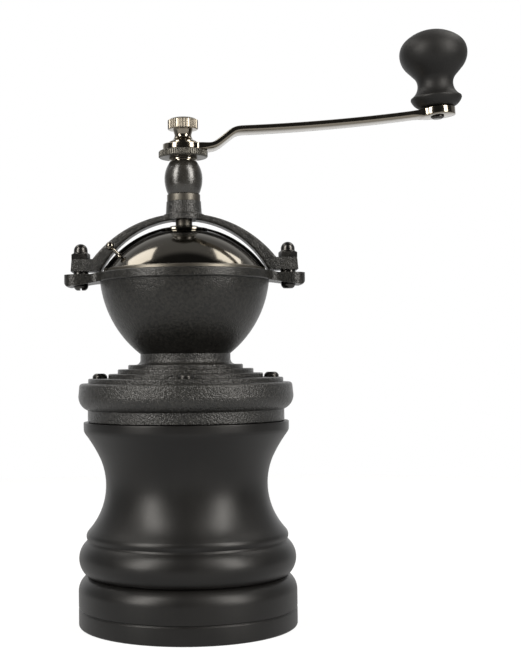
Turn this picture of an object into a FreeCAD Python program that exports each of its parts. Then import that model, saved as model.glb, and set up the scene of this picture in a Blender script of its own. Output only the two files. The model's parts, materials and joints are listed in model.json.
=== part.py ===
import FreeCAD, Part
import Sketcher

import math
import os
import re

# Hand-cranked coffee grinder, in millimetres. +Z is up, the origin is the centre of the foot,
# the crank points along +X and the door of the dome faces -Y.

# Driving sizes. A "_z" is a height above the foot and a "_t" a thickness. A "_h" is measured upwards from
# the piece's own foot, or from the feature below it.
SIZES = {
    # Lower wood part, which is the grounds cup
    "base_r": 40.5,
    "foot_round": 0.9,
    "ring_line_z": 6.9,
    "ring_line_half": 0.4,
    "ring_line_deep": 0.45,
    "cup_round_drop": 5.7,
    "cup_round": 6.3,
    "parting_z": 18.7,
    "parting_bevel": 0.6,
    "cup_floor": 4.2,
    "spigot_wall": 3.62,
    "cup_floor_round": 5.0,
    "socket_wall": 6.5,
    "socket_play": 0.08,
    "socket_deep": 12.0,
    "spigot_short": 0.8,
    "spigot_bevel": 0.8,
    # Upper wood part
    "housing_h": 56.7,
    "bead_in": 0.25,
    "bead_h": 6.2,
    "bead_round": 7.9,
    "notch_deep": 3.2,
    "notch_h": 6.8,
    "notch_fall": 0.8,
    "lip_in": 0.15,
    "lip_h": 2.95,
    "lip_round": 2.6,
    "lip_step": 1.15,
    "lip_step_h": 1.35,
    "waist_r": 30.05,
    "waist_h": 15.9,
    "flare_out": 3.15,
    "flare_drop": 6.95,
    "flare_round": 50.0,
    "land_out": 1.6,
    "land_h": 2.8,
    "land_lip": 0.55,
    "land_lip_h": 1.75,
    "land_round": 3.0,
    "land_bevel": 0.4,
    "well_in": 0.5,
    # Base casting: band, rounded ring, four treads and the neck
    "ring_r": 40.0,
    "band_in": 3.45,
    "band_h": 4.0,
    "ring_swell_h": 5.1,
    "ring_side_h": 3.6,
    "ring_lean": 0.35,
    "ring_corner": 1.25,
    "tread_a_in": 3.7,
    "tread_a_h": 1.75,
    "tread_b_r": 28.8,
    "tread_b_h": 1.7,
    "tread_c_r": 25.3,
    "tread_c_h": 1.7,
    "tread_d_r": 21.4,
    "tread_d_h": 1.6,
    "cast_edge": 0.45,
    "neck_r": 16.8,
    "neck_flare": 1.9,
    "neck_h": 4.0,
    "neck_wall": 1.8,
    "flange_wall": 2.2,
    "band_wall": 3.15,
    "cover_t": 4.3,
    "post_r": 4.0,
    "spider_arms": 3,
    "spider_arm_w": 3.2,
    "spider_gap": 0.3,
    "spider_t": 3.4,
    "hub_wall": 1.35,
    "hub_drop": 1.6,
    "hub_h": 6.2,
    # Screws through the lowest tread into the wood
    "base_screw_count": 4,
    "base_screw_in": 4.3,
    "base_screw_shank_r": 1.45,
    "base_screw_head_r": 2.75,
    "base_screw_head_h": 1.9,
    "base_screw_len": 21.5,
    "screw_play": 0.1,
    "slot_w": 0.8,
    "slot_deep": 0.8,
    # Shares of a screw's or pin's radius or head height, from its tip up to the flat on its head
    "point_share": 0.3,
    "point_length_share": 2.0,
    "blunt_share": 0.8,
    "blunt_length_share": 0.3,
    "head_side_share": 0.4,
    "head_flat_share": 0.6,
    "head_round_share": 0.75,
    # How far a cut runs on past the piece
    "cut_over": 1.0,
    # Outer burr and its screws
    "burr_seat_r": 20.0,
    "burr_seat_play": 0.1,
    "seat_cover_t": 5.0,
    "burr_flange_out": 5.0,
    "burr_flange_t": 2.0,
    "burr_flange_sunk": 0.2,
    "burr_mouth_r": 16.45,
    "burr_break_r": 14.0,
    "burr_break_h": 5.0,
    "burr_entry_r": 13.4,
    "burr_furrows": 24,
    "burr_furrow_deep": 0.75,
    "burr_furrow_size": 1.5,
    "burr_lean": 12.0,
    "burr_screw_count": 3,
    "burr_screw_angle": 60.0,
    "burr_screw_in": 2.6,
    "burr_screw_shank_r": 1.4,
    "burr_screw_head_r": 2.5,
    "burr_screw_head_h": 1.5,
    "burr_screw_len": 8.0,
    # Inner burr on the shaft
    "cone_drop": 0.9,
    "cone_gap": 0.7,
    "cone_bevel": 0.4,
    "cone_break_gap": 0.9,
    "cone_break_h": 5.7,
    "cone_top_wall": 2.1,
    "cone_h": 11.7,
    "spring_room": 0.7,
    "cone_recess_deep": 5.6,
    "cone_furrows": 30,
    "cone_flutes": 6,
    "cone_flute_deep": 1.5,
    "cone_flute_size": 3.0,
    "burr_washer_r": 5.5,
    "burr_washer_t": 1.0,
    "burr_washer_edge": 0.2,
    "burr_nut_flats": 8.0,
    "burr_nut_t": 4.0,
    "spring_play": 0.7,
    "spring_wire_r": 0.4,
    "spring_turns": 4.5,
    # Shaft
    "shaft_r": 3.1,
    "shaft_tail_step": 0.5,
    "shaft_tail_out": 1.0,
    "shaft_neck_step": 0.1,
    "shaft_tip_r": 1.95,
    "shaft_tip_h": 6.8,
    "shaft_end_bevel": 0.5,
    "drive_flats": 4.8,
    "tail_flat": 2.0,
    "shaft_travel": 0.75,
    "running_gap": 0.05,
    "face_gap": 0.05,
    "bush_wall": 1.4,
    # Hopper bowl
    "bowl_h": 30.3,
    "bowl_r": 39.45,
    "bowl_wall": 2.8,
    "spigot_deep": 4.6,
    "spigot_t": 1.8,
    "rim_r": 32.4,
    "rim_t": 3.4,
    "rim_out": 0.9,
    "rim_edge": 0.6,
    "rim_lip": 1.9,
    "rebate_deep": 1.2,
    "ear_out": 12.4,
    "ear_w": 14.0,
    "ear_corner": 5.0,
    "ear_blend": 4.0,
    "ear_drop": 0.6,
    "ear_ramp": 3.0,
    "ear_h": 4.7,
    "ear_seat_h": 1.3,
    "ear_edge": 1.6,
    "ear_clear": 0.1,
    "ear_seat_play": 0.3,
    "ear_hole_out": 6.3,
    # Ear screws, washers and cap nuts
    "ear_screw_r": 1.75,
    "ear_screw_head_r": 2.7,
    "ear_screw_head_h": 2.3,
    "ear_screw_end": 1.6,
    "ear_washer_r": 2.85,
    "ear_washer_t": 1.2,
    "cap_nut_flats": 6.2,
    "cap_nut_hex_h": 2.4,
    "cap_nut_dome_r": 2.6,
    "cap_nut_cove": 0.4,
    "cap_nut_cove_h": 0.3,
    "cap_nut_sunk": 0.2,
    "cap_nut_h": 6.0,
    "cap_nut_top_wall": 1.2,
    "cap_nut_turn": 15.0,
    # Yoke over the dome
    "foot_h": 4.5,
    "foot_out": 3.5,
    "foot_in": 7.6,
    "foot_top_in": 4.53,
    "foot_draft": 0.4,
    "arch_gap": 2.93,
    "arch_t": 2.2,
    "arch_w": 9.0,
    "arch_edge": 0.9,
    "boss_r": 7.5,
    "boss_mid_r": 6.7,
    "boss_sunk": 0.2,
    "boss_top_r": 6.45,
    "boss_h": 4.65,
    "bush_flange_r": 6.2,
    "bush_flange_t": 2.65,
    "bush_edge": 0.35,
    # Barrel, collar and knurled nut on the shaft
    "barrel_low_r": 5.75,
    "barrel_mid_r": 7.12,
    "barrel_top_r": 4.95,
    "barrel_mid_h": 5.95,
    "barrel_h": 12.45,
    "collar_r": 5.25,
    "collar_low_r": 4.4,
    "collar_low_h": 0.4,
    "collar_t": 1.3,
    "adjuster_r": 9.2,
    "adjuster_t": 2.65,
    "adjuster_bevel": 0.4,
    "adjuster_knurls": 72,
    "adjuster_knurl_deep": 0.3,
    # Crank arm, a bent bar between two eyes
    "arm_t": 2.4,
    "arm_w": 10.2,
    "arm_end_w": 8.4,
    "arm_eye_r": 7.6,
    "arm_low_x": 11.7,
    "arm_high_x": 19.6,
    "arm_rise": 6.2,
    "arm_end_rise": 12.3,
    "arm_end_slope": 3.0,
    "arm_bow": 720.0,
    "arm_end_x": 95.4,
    "arm_end_r": 6.7,
    "arm_end_t": 2.9,
    "arm_bend": 5.0,
    # Thumb nut
    "thumb_foot_r": 5.2,
    "thumb_foot_h": 0.9,
    "thumb_neck_r": 3.15,
    "thumb_neck_h": 3.5,
    "thumb_neck_top_r": 3.75,
    "thumb_head_r": 5.68,
    "thumb_head_low_h": 5.45,
    "thumb_head_top_h": 8.95,
    "thumb_h": 9.65,
    "thumb_top_r": 4.5,
    "thumb_top_wall": 1.6,
    "thumb_knurls": 32,
    "thumb_knurl_deep": 0.3,
    # Knob on its pin
    "knob_gap": 0.15,
    "knob_foot_r": 5.9,
    "knob_skirt_r": 9.5,
    "knob_skirt_h": 3.4,
    "knob_skirt_round": 5.0,
    "knob_step": 0.15,
    "knob_step_h": 0.6,
    "knob_neck_r": 6.6,
    "knob_neck_h": 8.8,
    "knob_neck_round": 4.6,
    "knob_flank_slope": 43.0,
    "knob_head_r": 12.6,
    "knob_head_h": 20.4,
    "knob_top_round": 15.8,
    "knob_h": 29.4,
    "knob_well_r": 4.4,
    "knob_well_h": 25.2,
    "pin_r": 2.0,
    "pin_play": 0.06,
    "pin_head_r": 3.9,
    "pin_head_h": 2.2,
    "pin_rivet_r": 2.5,
    "pin_rivet_flat_r": 1.75,
    "pin_rivet_h": 1.1,
    # Dome, door and ferrule
    "dome_fit": 0.3,
    "skirt_rise": 1.35,
    "crown_h": 16.0,
    "sheet_t": 0.6,
    "sheet_gap": 0.3,
    "dome_flat_r": 7.0,
    "dome_hub_r": 9.0,
    "door_hub_r": 7.5,
    "ferrule_play": 0.5,
    "ferrule_wall": 0.6,
    "ferrule_flange_out": 1.4,
    "ferrule_flange_t": 0.5,
    "flange_bevel": 0.3,
    "window_start": 194.5,
    "window_end": 352.0,
    "door_lap": 3.5,
    "door_knob_angle": 199.0,
    "door_knob_up": 10.2,
    "door_knob_out": 4.0,
    "door_knob_r": 1.65,
    "door_stem_r": 0.7,
    "door_foot_r": 1.3,
    "door_foot_t": 0.5,
}

# Sizes that follow from those, each written once and read by every piece that it touches. A ring's
# radius or a level's height is stated from the piece that carries it.
DERIVED = {
    # Cup and housing
    "parting_r": "base_r - cup_round + sqrt(cup_round ^ 2 - (parting_z - parting_bevel - cup_round_z) ^ 2)",
    "cup_round_z": "parting_z - cup_round_drop",
    "socket_r": "base_r - socket_wall",
    "socket_top_z": "parting_z + socket_deep",
    "cup_bore_r": "socket_r - socket_play - spigot_wall",
    "bead_r": "base_r - bead_in",
    "bead_z": "parting_z + bead_h",
    "notch_r": "bead_r - notch_deep",
    "notch_z": "bead_z + notch_h",
    "lip_top_r": "notch_r - lip_in",
    "lip_top_z": "notch_z + lip_h",
    "waist_low_r": "lip_top_r - lip_step",
    "waist_low_z": "lip_top_z + lip_step_h",
    "waist_z": "waist_low_z + waist_h",
    "wood_top_z": "parting_z + housing_h",
    "land_r": "band_r + land_out",
    "land_z": "wood_top_z - land_h",
    "waist_top_r": "land_r - land_lip",
    "waist_top_z": "land_z - land_lip_h",
    "flare_r": "waist_r + flare_out",
    "flare_z": "waist_top_z - flare_drop",
    "well_r": "burr_flange_r - well_in",
    # Base casting
    "band_r": "ring_r - band_in",
    "band_top_z": "wood_top_z + band_h",
    "ring_mid_z": "band_top_z + ring_swell_h",
    "ring_side_z": "ring_mid_z + ring_side_h",
    "ring_top_z": "ring_side_z + ring_corner",
    "ring_top_r": "ring_r - ring_lean",
    "tread_a_r": "ring_r - tread_a_in",
    "tread_a_z": "ring_top_z + tread_a_h",
    "tread_b_z": "tread_a_z + tread_b_h",
    "tread_c_z": "tread_b_z + tread_c_h",
    "tread_d_z": "tread_c_z + tread_d_h",
    "neck_top_z": "tread_d_z + neck_h",
    "spigot_r": "neck_r - neck_wall",
    "spigot_low_z": "neck_top_z - spigot_deep",
    "throat_r": "spigot_r - spigot_t",
    "hollow_in_r": "burr_flange_r + flange_wall",
    "hollow_out_r": "band_r - band_wall",
    "hollow_top_z": "tread_a_z - cover_t",
    "spider_z": "seat_top_z + spider_gap",
    "hub_z": "spider_z - hub_drop",
    "hub_r": "bush_r + hub_wall",
    "base_screw_x": "tread_a_r - base_screw_in",
    # Burrs
    "seat_top_z": "tread_d_z - seat_cover_t",
    "burr_top_z": "seat_top_z - burr_seat_play",
    "burr_low_z": "wood_top_z + burr_flange_sunk",
    "burr_flange_r": "burr_seat_r + burr_flange_out",
    "flange_top_z": "burr_low_z + burr_flange_t",
    "burr_break_z": "wood_top_z + burr_break_h",
    "burr_screw_x": "(burr_flange_r - burr_screw_in) * cos(burr_screw_angle)",
    "burr_screw_y": "(burr_flange_r - burr_screw_in) * sin(burr_screw_angle)",
    "cone_bottom_z": "wood_top_z - cone_drop",
    "cone_bottom_r": "burr_mouth_r - cone_gap",
    "cone_break_r": "burr_break_r - cone_break_gap",
    "cone_top_r": "cone_recess_r + cone_top_wall",
    "cone_recess_r": "spring_mid_r + spring_wire_r + spring_room",
    "recess_z": "cone_bottom_z + cone_h - cone_recess_deep",
    "spring_mid_r": "shaft_r + spring_play + spring_wire_r",
    # Shaft and its bores
    "shaft_bore_r": "shaft_r + running_gap",
    "shaft_neck_r": "shaft_r - shaft_neck_step",
    "shaft_tail_r": "shaft_r - shaft_tail_step",
    "neck_bore_r": "shaft_neck_r + running_gap",
    "tail_bore_r": "shaft_tail_r + running_gap",
    "tip_bore_r": "shaft_tip_r + running_gap",
    "bush_r": "shaft_bore_r + bush_wall",
    # Bowl, whose wall is an arc from the neck to the underside of the rim
    "rim_top_z": "neck_top_z + bowl_h",
    "rim_low_z": "rim_top_z - rim_t",
    "rim_low_r": "rim_r - rim_out",
    "rebate_r": "rim_r - rim_lip",
    "rebate_z": "rim_top_z - rebate_deep",
    "bowl_chord": "sqrt((rim_low_r - neck_r) ^ 2 + (rim_low_z - neck_top_z) ^ 2)",
    "bowl_reach": "sqrt(bowl_r ^ 2 - bowl_chord ^ 2 / 4) / bowl_chord",
    "bowl_x": "(neck_r + rim_low_r) / 2 - bowl_reach * (rim_low_z - neck_top_z)",
    "bowl_z": "(neck_top_z + rim_low_z) / 2 + bowl_reach * (rim_low_r - neck_r)",
    "bowl_in_r": "bowl_r - bowl_wall",
    "ear_tip_x": "rim_r + ear_out",
    "ear_hole_x": "rim_r + ear_hole_out",
    "ear_hole_r": "ear_screw_r + screw_play",
    "ear_top_z": "rim_top_z - ear_drop",
    "ear_low_z": "ear_top_z - ear_h",
    "ear_seat_z": "ear_low_z + ear_seat_h",
    # Dome and yoke
    "skirt_r": "rebate_r - dome_fit",
    "dome_r": "(skirt_r ^ 2 + crown_h ^ 2) / (2 * crown_h)",
    "dome_z": "rim_top_z + skirt_rise + crown_h - dome_r",
    "dome_flat_z": "dome_z + sqrt(dome_r ^ 2 - dome_flat_r ^ 2)",
    "sheet_step": "sheet_t + sheet_gap",
    "door_r": "dome_r - sheet_step",
    "door_knob_rise": "90 - asin((skirt_r - sheet_step) / door_r) / (1 deg) + door_knob_up",
    "ferrule_bore_r": "shaft_r + ferrule_play",
    "ferrule_r": "ferrule_bore_r + ferrule_wall",
    "ferrule_flange_r": "ferrule_r + ferrule_flange_out",
    "foot_z": "ear_top_z + ear_washer_t",
    "foot_top_z": "foot_z + foot_h",
    "foot_tip_x": "ear_hole_x + foot_out",
    "foot_in_x": "ear_hole_x - foot_in",
    "foot_top_x": "ear_hole_x - foot_top_in",
    "arch_low_z": "dome_flat_z + arch_gap",
    "arch_top_z": "arch_low_z + arch_t",
    "boss_foot_z": "arch_top_z - boss_sunk",
    "boss_top_z": "arch_top_z + boss_h",
    "bush_top_z": "boss_top_z + bush_flange_t",
    # What stands on the upper bush
    "barrel_z": "bush_top_z + face_gap",
    "collar_z": "barrel_z + barrel_h",
    "adjuster_z": "collar_z + collar_t + face_gap",
    "arm_z": "adjuster_z + adjuster_t + face_gap",
    "arm_mid_z": "arm_z + arm_t / 2",
    "arm_end_z": "arm_mid_z + arm_end_rise",
    "thumb_z": "arm_z + arm_t + face_gap",
    "shaft_tip_z": "thumb_z + shaft_tip_h",
}

WORD = re.compile(r"[a-z][a-z_]*")
NEAR = 0.001

doc = FreeCAD.newDocument("coffee_grinder")
pieces = []


def bound(text):
    """The expression with each size's name read from the sheet that holds it."""

    def read(match):
        word = match.group()
        home = "Sizes." if word in SIZES else "Derived." if word in DERIVED else ""
        return home + word

    return WORD.sub(read, text)


def fill_sheet(name, cells):
    """A sheet with one row, its name and its value, for each cell."""
    made = doc.addObject("Spreadsheet::Sheet", name)
    for row, word in enumerate(cells, start=1):
        made.set(f"A{row}", word)
        made.setAlias(f"B{row}", word)
    for row, text in enumerate(cells.values(), start=1):
        made.set(f"B{row}", text)
    doc.recompute()
    return made


sheet = fill_sheet("Sizes", {word: str(value) for word, value in SIZES.items()})
fill_sheet("Derived", {
    word: "=" + bound(text).replace("Derived.", "") for word, text in DERIVED.items()
})


def number(text):
    """What the expression is worth now, in millimetres or degrees."""
    return float(sheet.evalExpression(bound(text)))


def new_body(name, z="0", keep=True):
    """An empty body that stands at the height z; a kept one becomes a file."""
    body = doc.addObject("PartDesign::Body", name)
    body.Label = name
    body.setExpression("Placement.Base.z", bound(z))
    if keep:
        pieces.append(body)
    return body


def place(thing, x="0", y="0", z="0", yaw="0", pitch="0", roll="0"):
    """Turns the thing by roll about X, pitch about Y and yaw about Z, then moves it."""
    spot = f"create(<<vector>>; {bound(x)}; {bound(y)}; {bound(z)})"
    turn = f"create(<<rotation>>; {bound(yaw)}; {bound(pitch)}; {bound(roll)})"
    thing.setExpression("Placement", f"create(<<placement>>; {spot}; {turn})")


def arc_between(start, end, radius, side):
    """The short arc from start to end that curves to the given side of the way it runs."""
    dx, dy = end[0] - start[0], end[1] - start[1]
    chord = math.hypot(dx, dy)
    reach = math.sqrt(max(radius * radius - chord * chord / 4, 0)) / chord
    sign = 1 if side == "left" else -1
    centre = (
        (start[0] + end[0]) / 2 - sign * reach * dy,
        (start[1] + end[1]) / 2 + sign * reach * dx,
    )
    first, last = (start, end) if side == "left" else (end, start)
    angles = [math.atan2(p[1] - centre[1], p[0] - centre[0]) for p in (first, last)]
    circle = Part.Circle(FreeCAD.Vector(centre[0], centre[1], 0), FreeCAD.Vector(0, 0, 1), radius)
    return Part.ArcOfCircle(circle, angles[0], angles[1])


def outline(body, name, plane, points, z="0"):
    """A closed sketch on one of the body's own planes. Each point is (across, up), which a straight
    line reaches from the point before, or (across, up, radius, side), which an arc reaches."""
    sketch = body.newObject("Sketcher::SketchObject", f"{body.Name}_{name}")
    origin = next(o for o in body.Origin.OriginFeatures if o.Role == plane)
    sketch.AttachmentSupport = [(origin, "")]
    sketch.MapMode = "FlatFace"
    if z != "0":
        sketch.setExpression("AttachmentOffset.Base.z", bound(z))
    spots = [(number(p[0]), number(p[1])) for p in points]
    starts, ends, rules, values = [], [], [], []
    for i, point in enumerate(points):
        before, here = spots[i - 1], spots[i]
        if len(point) == 2:
            a, b = (FreeCAD.Vector(s[0], s[1], 0) for s in (before, here))
            sketch.addGeometry(Part.LineSegment(a, b))
            starts.append(1)
        else:
            radius, side = number(point[2]), point[3]
            sketch.addGeometry(arc_between(before, here, radius, side))
            starts.append(1 if side == "left" else 2)
            rules.append(Sketcher.Constraint("Radius", i, radius))
            values.append(point[2])
        ends.append(3 - starts[-1])
    for i, point in enumerate(points):
        after = (i + 1) % len(points)
        rules.append(Sketcher.Constraint("Coincident", i, ends[i], after, starts[after]))
        values.append(None)
        for kind, axis, place_on in (("DistanceX", -2, 0), ("DistanceY", -1, 1)):
            if point[place_on] == "0":
                rules.append(Sketcher.Constraint("PointOnObject", i, ends[i], axis))
                values.append(None)
            else:
                rules.append(Sketcher.Constraint(kind, -1, 1, i, ends[i], spots[i][place_on]))
                values.append(point[place_on])
    sketch.addConstraint(rules)
    for i, value in enumerate(values):
        if value is not None:
            sketch.setExpression(f"Constraints[{i}]", bound(value))
    return sketch


def turned(body, name, points, cut=False):
    """A turned shape, or with cut a turned hollow, from its half section of radius and height."""
    sketch = outline(body, name + "_section", "XZ_Plane", points)
    kind = "PartDesign::Groove" if cut else "PartDesign::Revolution"
    turn = body.newObject(kind, f"{body.Name}_{name}")
    turn.Profile = sketch
    turn.ReferenceAxis = (sketch, ["V_Axis"])
    turn.Angle = 360
    return turn


def pad(body, name, plane, points, length, z="0", midplane=False):
    sketch = outline(body, name + "_outline", plane, points, z)
    block = body.newObject("PartDesign::Pad", f"{body.Name}_{name}")
    block.Profile = sketch
    block.setExpression("Length", bound(length))
    block.Midplane = midplane
    return block


def pocket(body, name, plane, points, length, z="0"):
    """Cuts upwards from the sketch."""
    sketch = outline(body, name + "_outline", plane, points, z)
    cut = body.newObject("PartDesign::Pocket", f"{body.Name}_{name}")
    cut.Profile = sketch
    cut.setExpression("Length", bound(length))
    cut.Reversed = True
    return cut


def primitive(body, kind, name, sizes, **spot):
    """An additive or subtractive primitive whose sizes are bound to the sheet."""
    thing = body.newObject("PartDesign::" + kind, f"{body.Name}_{name}")
    for prop, text in sizes.items():
        thing.setExpression(prop, bound(text))
    place(thing, **spot)
    return thing


def boss(body, name, r, h, **spot):
    return primitive(body, "AdditiveCylinder", name, {"Radius": r, "Height": h}, **spot)


def hole(body, name, r, h, **spot):
    return primitive(body, "SubtractiveCylinder", name, {"Radius": r, "Height": h}, **spot)


def around(body, features, count):
    """Repeats the features evenly about the body's own Z axis."""
    pattern = body.newObject("PartDesign::PolarPattern", f"{features[-1].Name}_around")
    pattern.Originals = features
    axis = next(o for o in body.Origin.OriginFeatures if o.Role == "Z_Axis")
    pattern.Axis = (axis, [""])
    pattern.Angle = 360
    pattern.setExpression("Occurrences", bound(count))
    body.Tip = pattern
    return pattern


def soften(body, name, radius, wanted):
    """Rounds the edges for which wanted(edge) is true."""
    doc.recompute()
    base = body.Tip
    names = [f"Edge{i}" for i, edge in enumerate(base.Shape.Edges, start=1) if wanted(edge)]
    if not names:
        raise RuntimeError(f"{body.Label}: no edge for {name}")
    edge_cut = body.newObject("PartDesign::Fillet", f"{body.Name}_{name}")
    edge_cut.Base = (base, names)
    edge_cut.setExpression("Radius", bound(radius))
    return edge_cut


def ring_at(*rings):
    """True for a circular edge about the Z axis whose radius and height are one of the rings."""
    spots = [(number(r), number(z)) for r, z in rings]

    def wanted(edge):
        if not isinstance(edge.Curve, Part.Circle):
            return False
        middle = edge.Curve.Center
        if math.hypot(middle.x, middle.y) > NEAR:
            return False
        return any(abs(edge.Curve.Radius - r) + abs(middle.z - z) < 10 * NEAR for r, z in spots)

    return wanted


def ring(name, z, outer, inner, height, edge="0"):
    """A plain washer or collar, with its two outer corners bevelled by edge."""
    body = new_body(name, z)
    points = [(inner, "0"), (outer, "0"), (outer, height), (inner, height)]
    if edge != "0":
        points[1:3] = [
            (f"{outer} - {edge}", "0"),
            (outer, edge),
            (outer, f"{height} - {edge}"),
            (f"{outer} - {edge}", height),
        ]
    turned(body, "ring", points)
    return body


def group(name, master, count, across, z, start=0.0):
    """One file for equal fasteners: copies of the master, evenly on a circle."""
    copies = []
    for i in range(count):
        angle = start + 360.0 * i / count
        copy = doc.addObject("App::Link", f"{name}_{i + 1}")
        copy.LinkedObject = master
        copy.LinkTransform = False
        place(copy, f"({across}) * cos({angle})", f"({across}) * sin({angle})", z, yaw=str(angle))
        copies.append(copy)
    whole = doc.addObject("Part::Compound", name)
    whole.Links = copies
    whole.Label = name
    pieces.append(whole)
    return whole


def hexagon(flats):
    """The corners of a hexagon with two of its flats across Y."""
    corner = f"{flats} / sqrt(3)"
    half = f"{flats} / 2"
    return [
        (corner, "0"),
        (f"{corner} / 2", half),
        (f"-{corner} / 2", half),
        (f"-{corner}", "0"),
        (f"-{corner} / 2", f"-{half}"),
        (f"{corner} / 2", f"-{half}"),
    ]


HALF_TURN = "180"


def make_grounds_cup():
    body = new_body("grounds_cup")
    spigot_r = "socket_r - socket_play"
    spigot_z = "socket_top_z - spigot_short"
    turned(body, "wood", [
        ("0", "0"),
        ("base_r - foot_round", "0"),
        ("base_r", "foot_round", "foot_round", "left"),
        ("base_r", "ring_line_z - ring_line_half"),
        ("base_r - ring_line_deep", "ring_line_z"),
        ("base_r", "ring_line_z + ring_line_half"),
        ("base_r", "cup_round_z"),
        ("parting_r", "parting_z - parting_bevel", "cup_round", "left"),
        ("parting_r - 2 * parting_bevel", "parting_z"),
        (spigot_r, "parting_z"),
        (spigot_r, f"{spigot_z} - spigot_bevel"),
        (f"{spigot_r} - spigot_bevel", spigot_z),
        ("cup_bore_r", spigot_z),
        ("cup_bore_r", "cup_floor + cup_floor_round"),
        ("cup_bore_r - cup_floor_round", "cup_floor", "cup_floor_round", "right"),
        ("0", "cup_floor"),
    ])


def make_wood_housing():
    body = new_body("wood_housing")
    low_round = (
        "((waist_low_r - waist_r) ^ 2 + (waist_z - waist_low_z) ^ 2) / (2 * (waist_low_r - waist_r))"
    )
    top_round = "((flare_r - waist_r) ^ 2 + (flare_z - waist_z) ^ 2) / (2 * (flare_r - waist_r))"
    bead_top_z = "notch_z - notch_fall"
    bead_top_r = f"bead_r - bead_round + sqrt(bead_round ^ 2 - ({bead_top_z} - bead_z) ^ 2)"
    turned(body, "wood", [
        ("socket_r", "parting_z"),
        ("parting_r - 2 * parting_bevel", "parting_z"),
        ("parting_r", "parting_z + parting_bevel"),
        (bead_top_r, bead_top_z, "bead_round", "left"),
        ("notch_r", "notch_z"),
        ("lip_top_r", "lip_top_z", "lip_round", "left"),
        ("waist_low_r", "waist_low_z"),
        ("waist_r", "waist_z", low_round, "right"),
        ("flare_r", "flare_z", top_round, "right"),
        ("waist_top_r", "waist_top_z", "flare_round", "right"),
        ("land_r", "land_z", "land_round", "left"),
        ("land_r", "wood_top_z - land_bevel"),
        ("land_r - land_bevel", "wood_top_z"),
        ("well_r", "wood_top_z"),
        ("well_r", "socket_top_z"),
        ("socket_r", "socket_top_z"),
    ])
    depth = "base_screw_len - (tread_a_z - wood_top_z) + screw_play"
    pilot = hole(
        body, "pilot", "base_screw_shank_r + screw_play", depth,
        x="base_screw_x", z=f"wood_top_z - ({depth})",
    )
    around(body, [pilot], "base_screw_count")


def make_base_casting():
    body = new_body("base_casting")
    turned(body, "rings", [
        ("throat_r", "wood_top_z"),
        ("band_r", "wood_top_z"),
        ("band_r", "band_top_z"),
        ("ring_r", "ring_mid_z",
         "((ring_r - band_r) ^ 2 + (ring_mid_z - band_top_z) ^ 2) / (2 * (ring_r - band_r))", "left"),
        ("ring_top_r", "ring_side_z"),
        ("ring_top_r - ring_corner", "ring_top_z", "ring_corner", "left"),
        ("tread_a_r", "ring_top_z"),
        ("tread_a_r", "tread_a_z"),
        ("tread_b_r", "tread_a_z"),
        ("tread_b_r", "tread_b_z"),
        ("tread_c_r", "tread_b_z"),
        ("tread_c_r", "tread_c_z"),
        ("tread_d_r", "tread_c_z"),
        ("tread_d_r", "tread_d_z"),
        ("neck_r + neck_flare", "tread_d_z"),
        ("neck_r", "tread_d_z + neck_flare", "neck_flare", "right"),
        ("neck_r", "neck_top_z"),
        ("spigot_r", "neck_top_z"),
        ("spigot_r", "spigot_low_z"),
        ("throat_r", "spigot_low_z"),
    ])
    soften(body, "edges", "cast_edge", ring_at(
        ("tread_a_r", "tread_a_z"),
        ("tread_b_r", "tread_b_z"),
        ("tread_c_r", "tread_c_z"),
        ("tread_d_r", "tread_d_z"),
    ))
    turned(body, "hollow", [
        ("hollow_in_r", "wood_top_z"),
        ("hollow_out_r", "wood_top_z"),
        ("hollow_out_r", "hollow_top_z"),
        ("hollow_in_r", "hollow_top_z"),
    ], cut=True)
    post = boss(
        body, "post", "post_r", "hollow_top_z - wood_top_z + cast_edge",
        x="base_screw_x", z="wood_top_z",
    )
    around(body, [post], "base_screw_count")
    turned(body, "burr_seat", [
        ("0", "wood_top_z"),
        ("burr_flange_r + burr_seat_play", "wood_top_z"),
        ("burr_flange_r + burr_seat_play", "flange_top_z"),
        ("burr_seat_r", "flange_top_z"),
        ("burr_seat_r", "seat_top_z"),
        ("0", "seat_top_z"),
    ], cut=True)
    screw_hole = hole(
        body, "screw_hole", "base_screw_shank_r + screw_play", "tread_a_z - wood_top_z",
        x="base_screw_x", z="wood_top_z",
    )
    around(body, [screw_hole], "base_screw_count")
    arm = primitive(
        body, "AdditiveBox", "arm",
        {"Length": "(throat_r + spigot_r) / 2", "Width": "spider_arm_w", "Height": "spider_t"},
        y="-spider_arm_w / 2", z="spider_z",
    )
    around(body, [arm], "spider_arms")
    boss(body, "hub", "hub_r", "hub_h", z="hub_z")
    hole(body, "hub_bore", "bush_r", "hub_h", z="hub_z")
    tapped = hole(
        body, "burr_thread", "burr_screw_shank_r + screw_play", "burr_screw_len",
        x="burr_screw_x", y="burr_screw_y", z="burr_low_z + screw_play",
    )
    around(body, [tapped], "burr_screw_count")


def make_screw(name, head_r, head_h, shank_r, length, countersunk=False, pointed=False):
    """A slotted screw that points down, with the underside of its head, or of a countersunk head its
    rim, at height 0."""
    body = new_body(name, keep=False)
    if pointed:
        tip, bevel = f"{shank_r} * point_share", f"{shank_r} * point_length_share"
    else:
        tip, bevel = f"{shank_r} * blunt_share", f"{shank_r} * blunt_length_share"
    points = [("0", f"-({length})"), (tip, f"-({length})"), (shank_r, f"{bevel} - ({length})")]
    if countersunk:
        points += [(shank_r, f"-({head_h})"), (head_r, "0"), ("0", "0")]
        top = "0"
    else:
        points += [
            (shank_r, "0"),
            (head_r, "0"),
            (head_r, f"{head_h} * head_side_share"),
            (f"{head_r} * head_flat_share", head_h, f"{head_r} * head_round_share", "left"),
            ("0", head_h),
        ]
        top = head_h
    turned(body, "screw", points)
    primitive(
        body, "SubtractiveBox", "slot",
        {"Length": f"2 * ({head_r} + cut_over)", "Width": "slot_w", "Height": "slot_deep + cut_over"},
        x=f"-{head_r} - cut_over", y="-slot_w / 2", z=f"{top} - slot_deep",
    )
    return body


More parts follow.
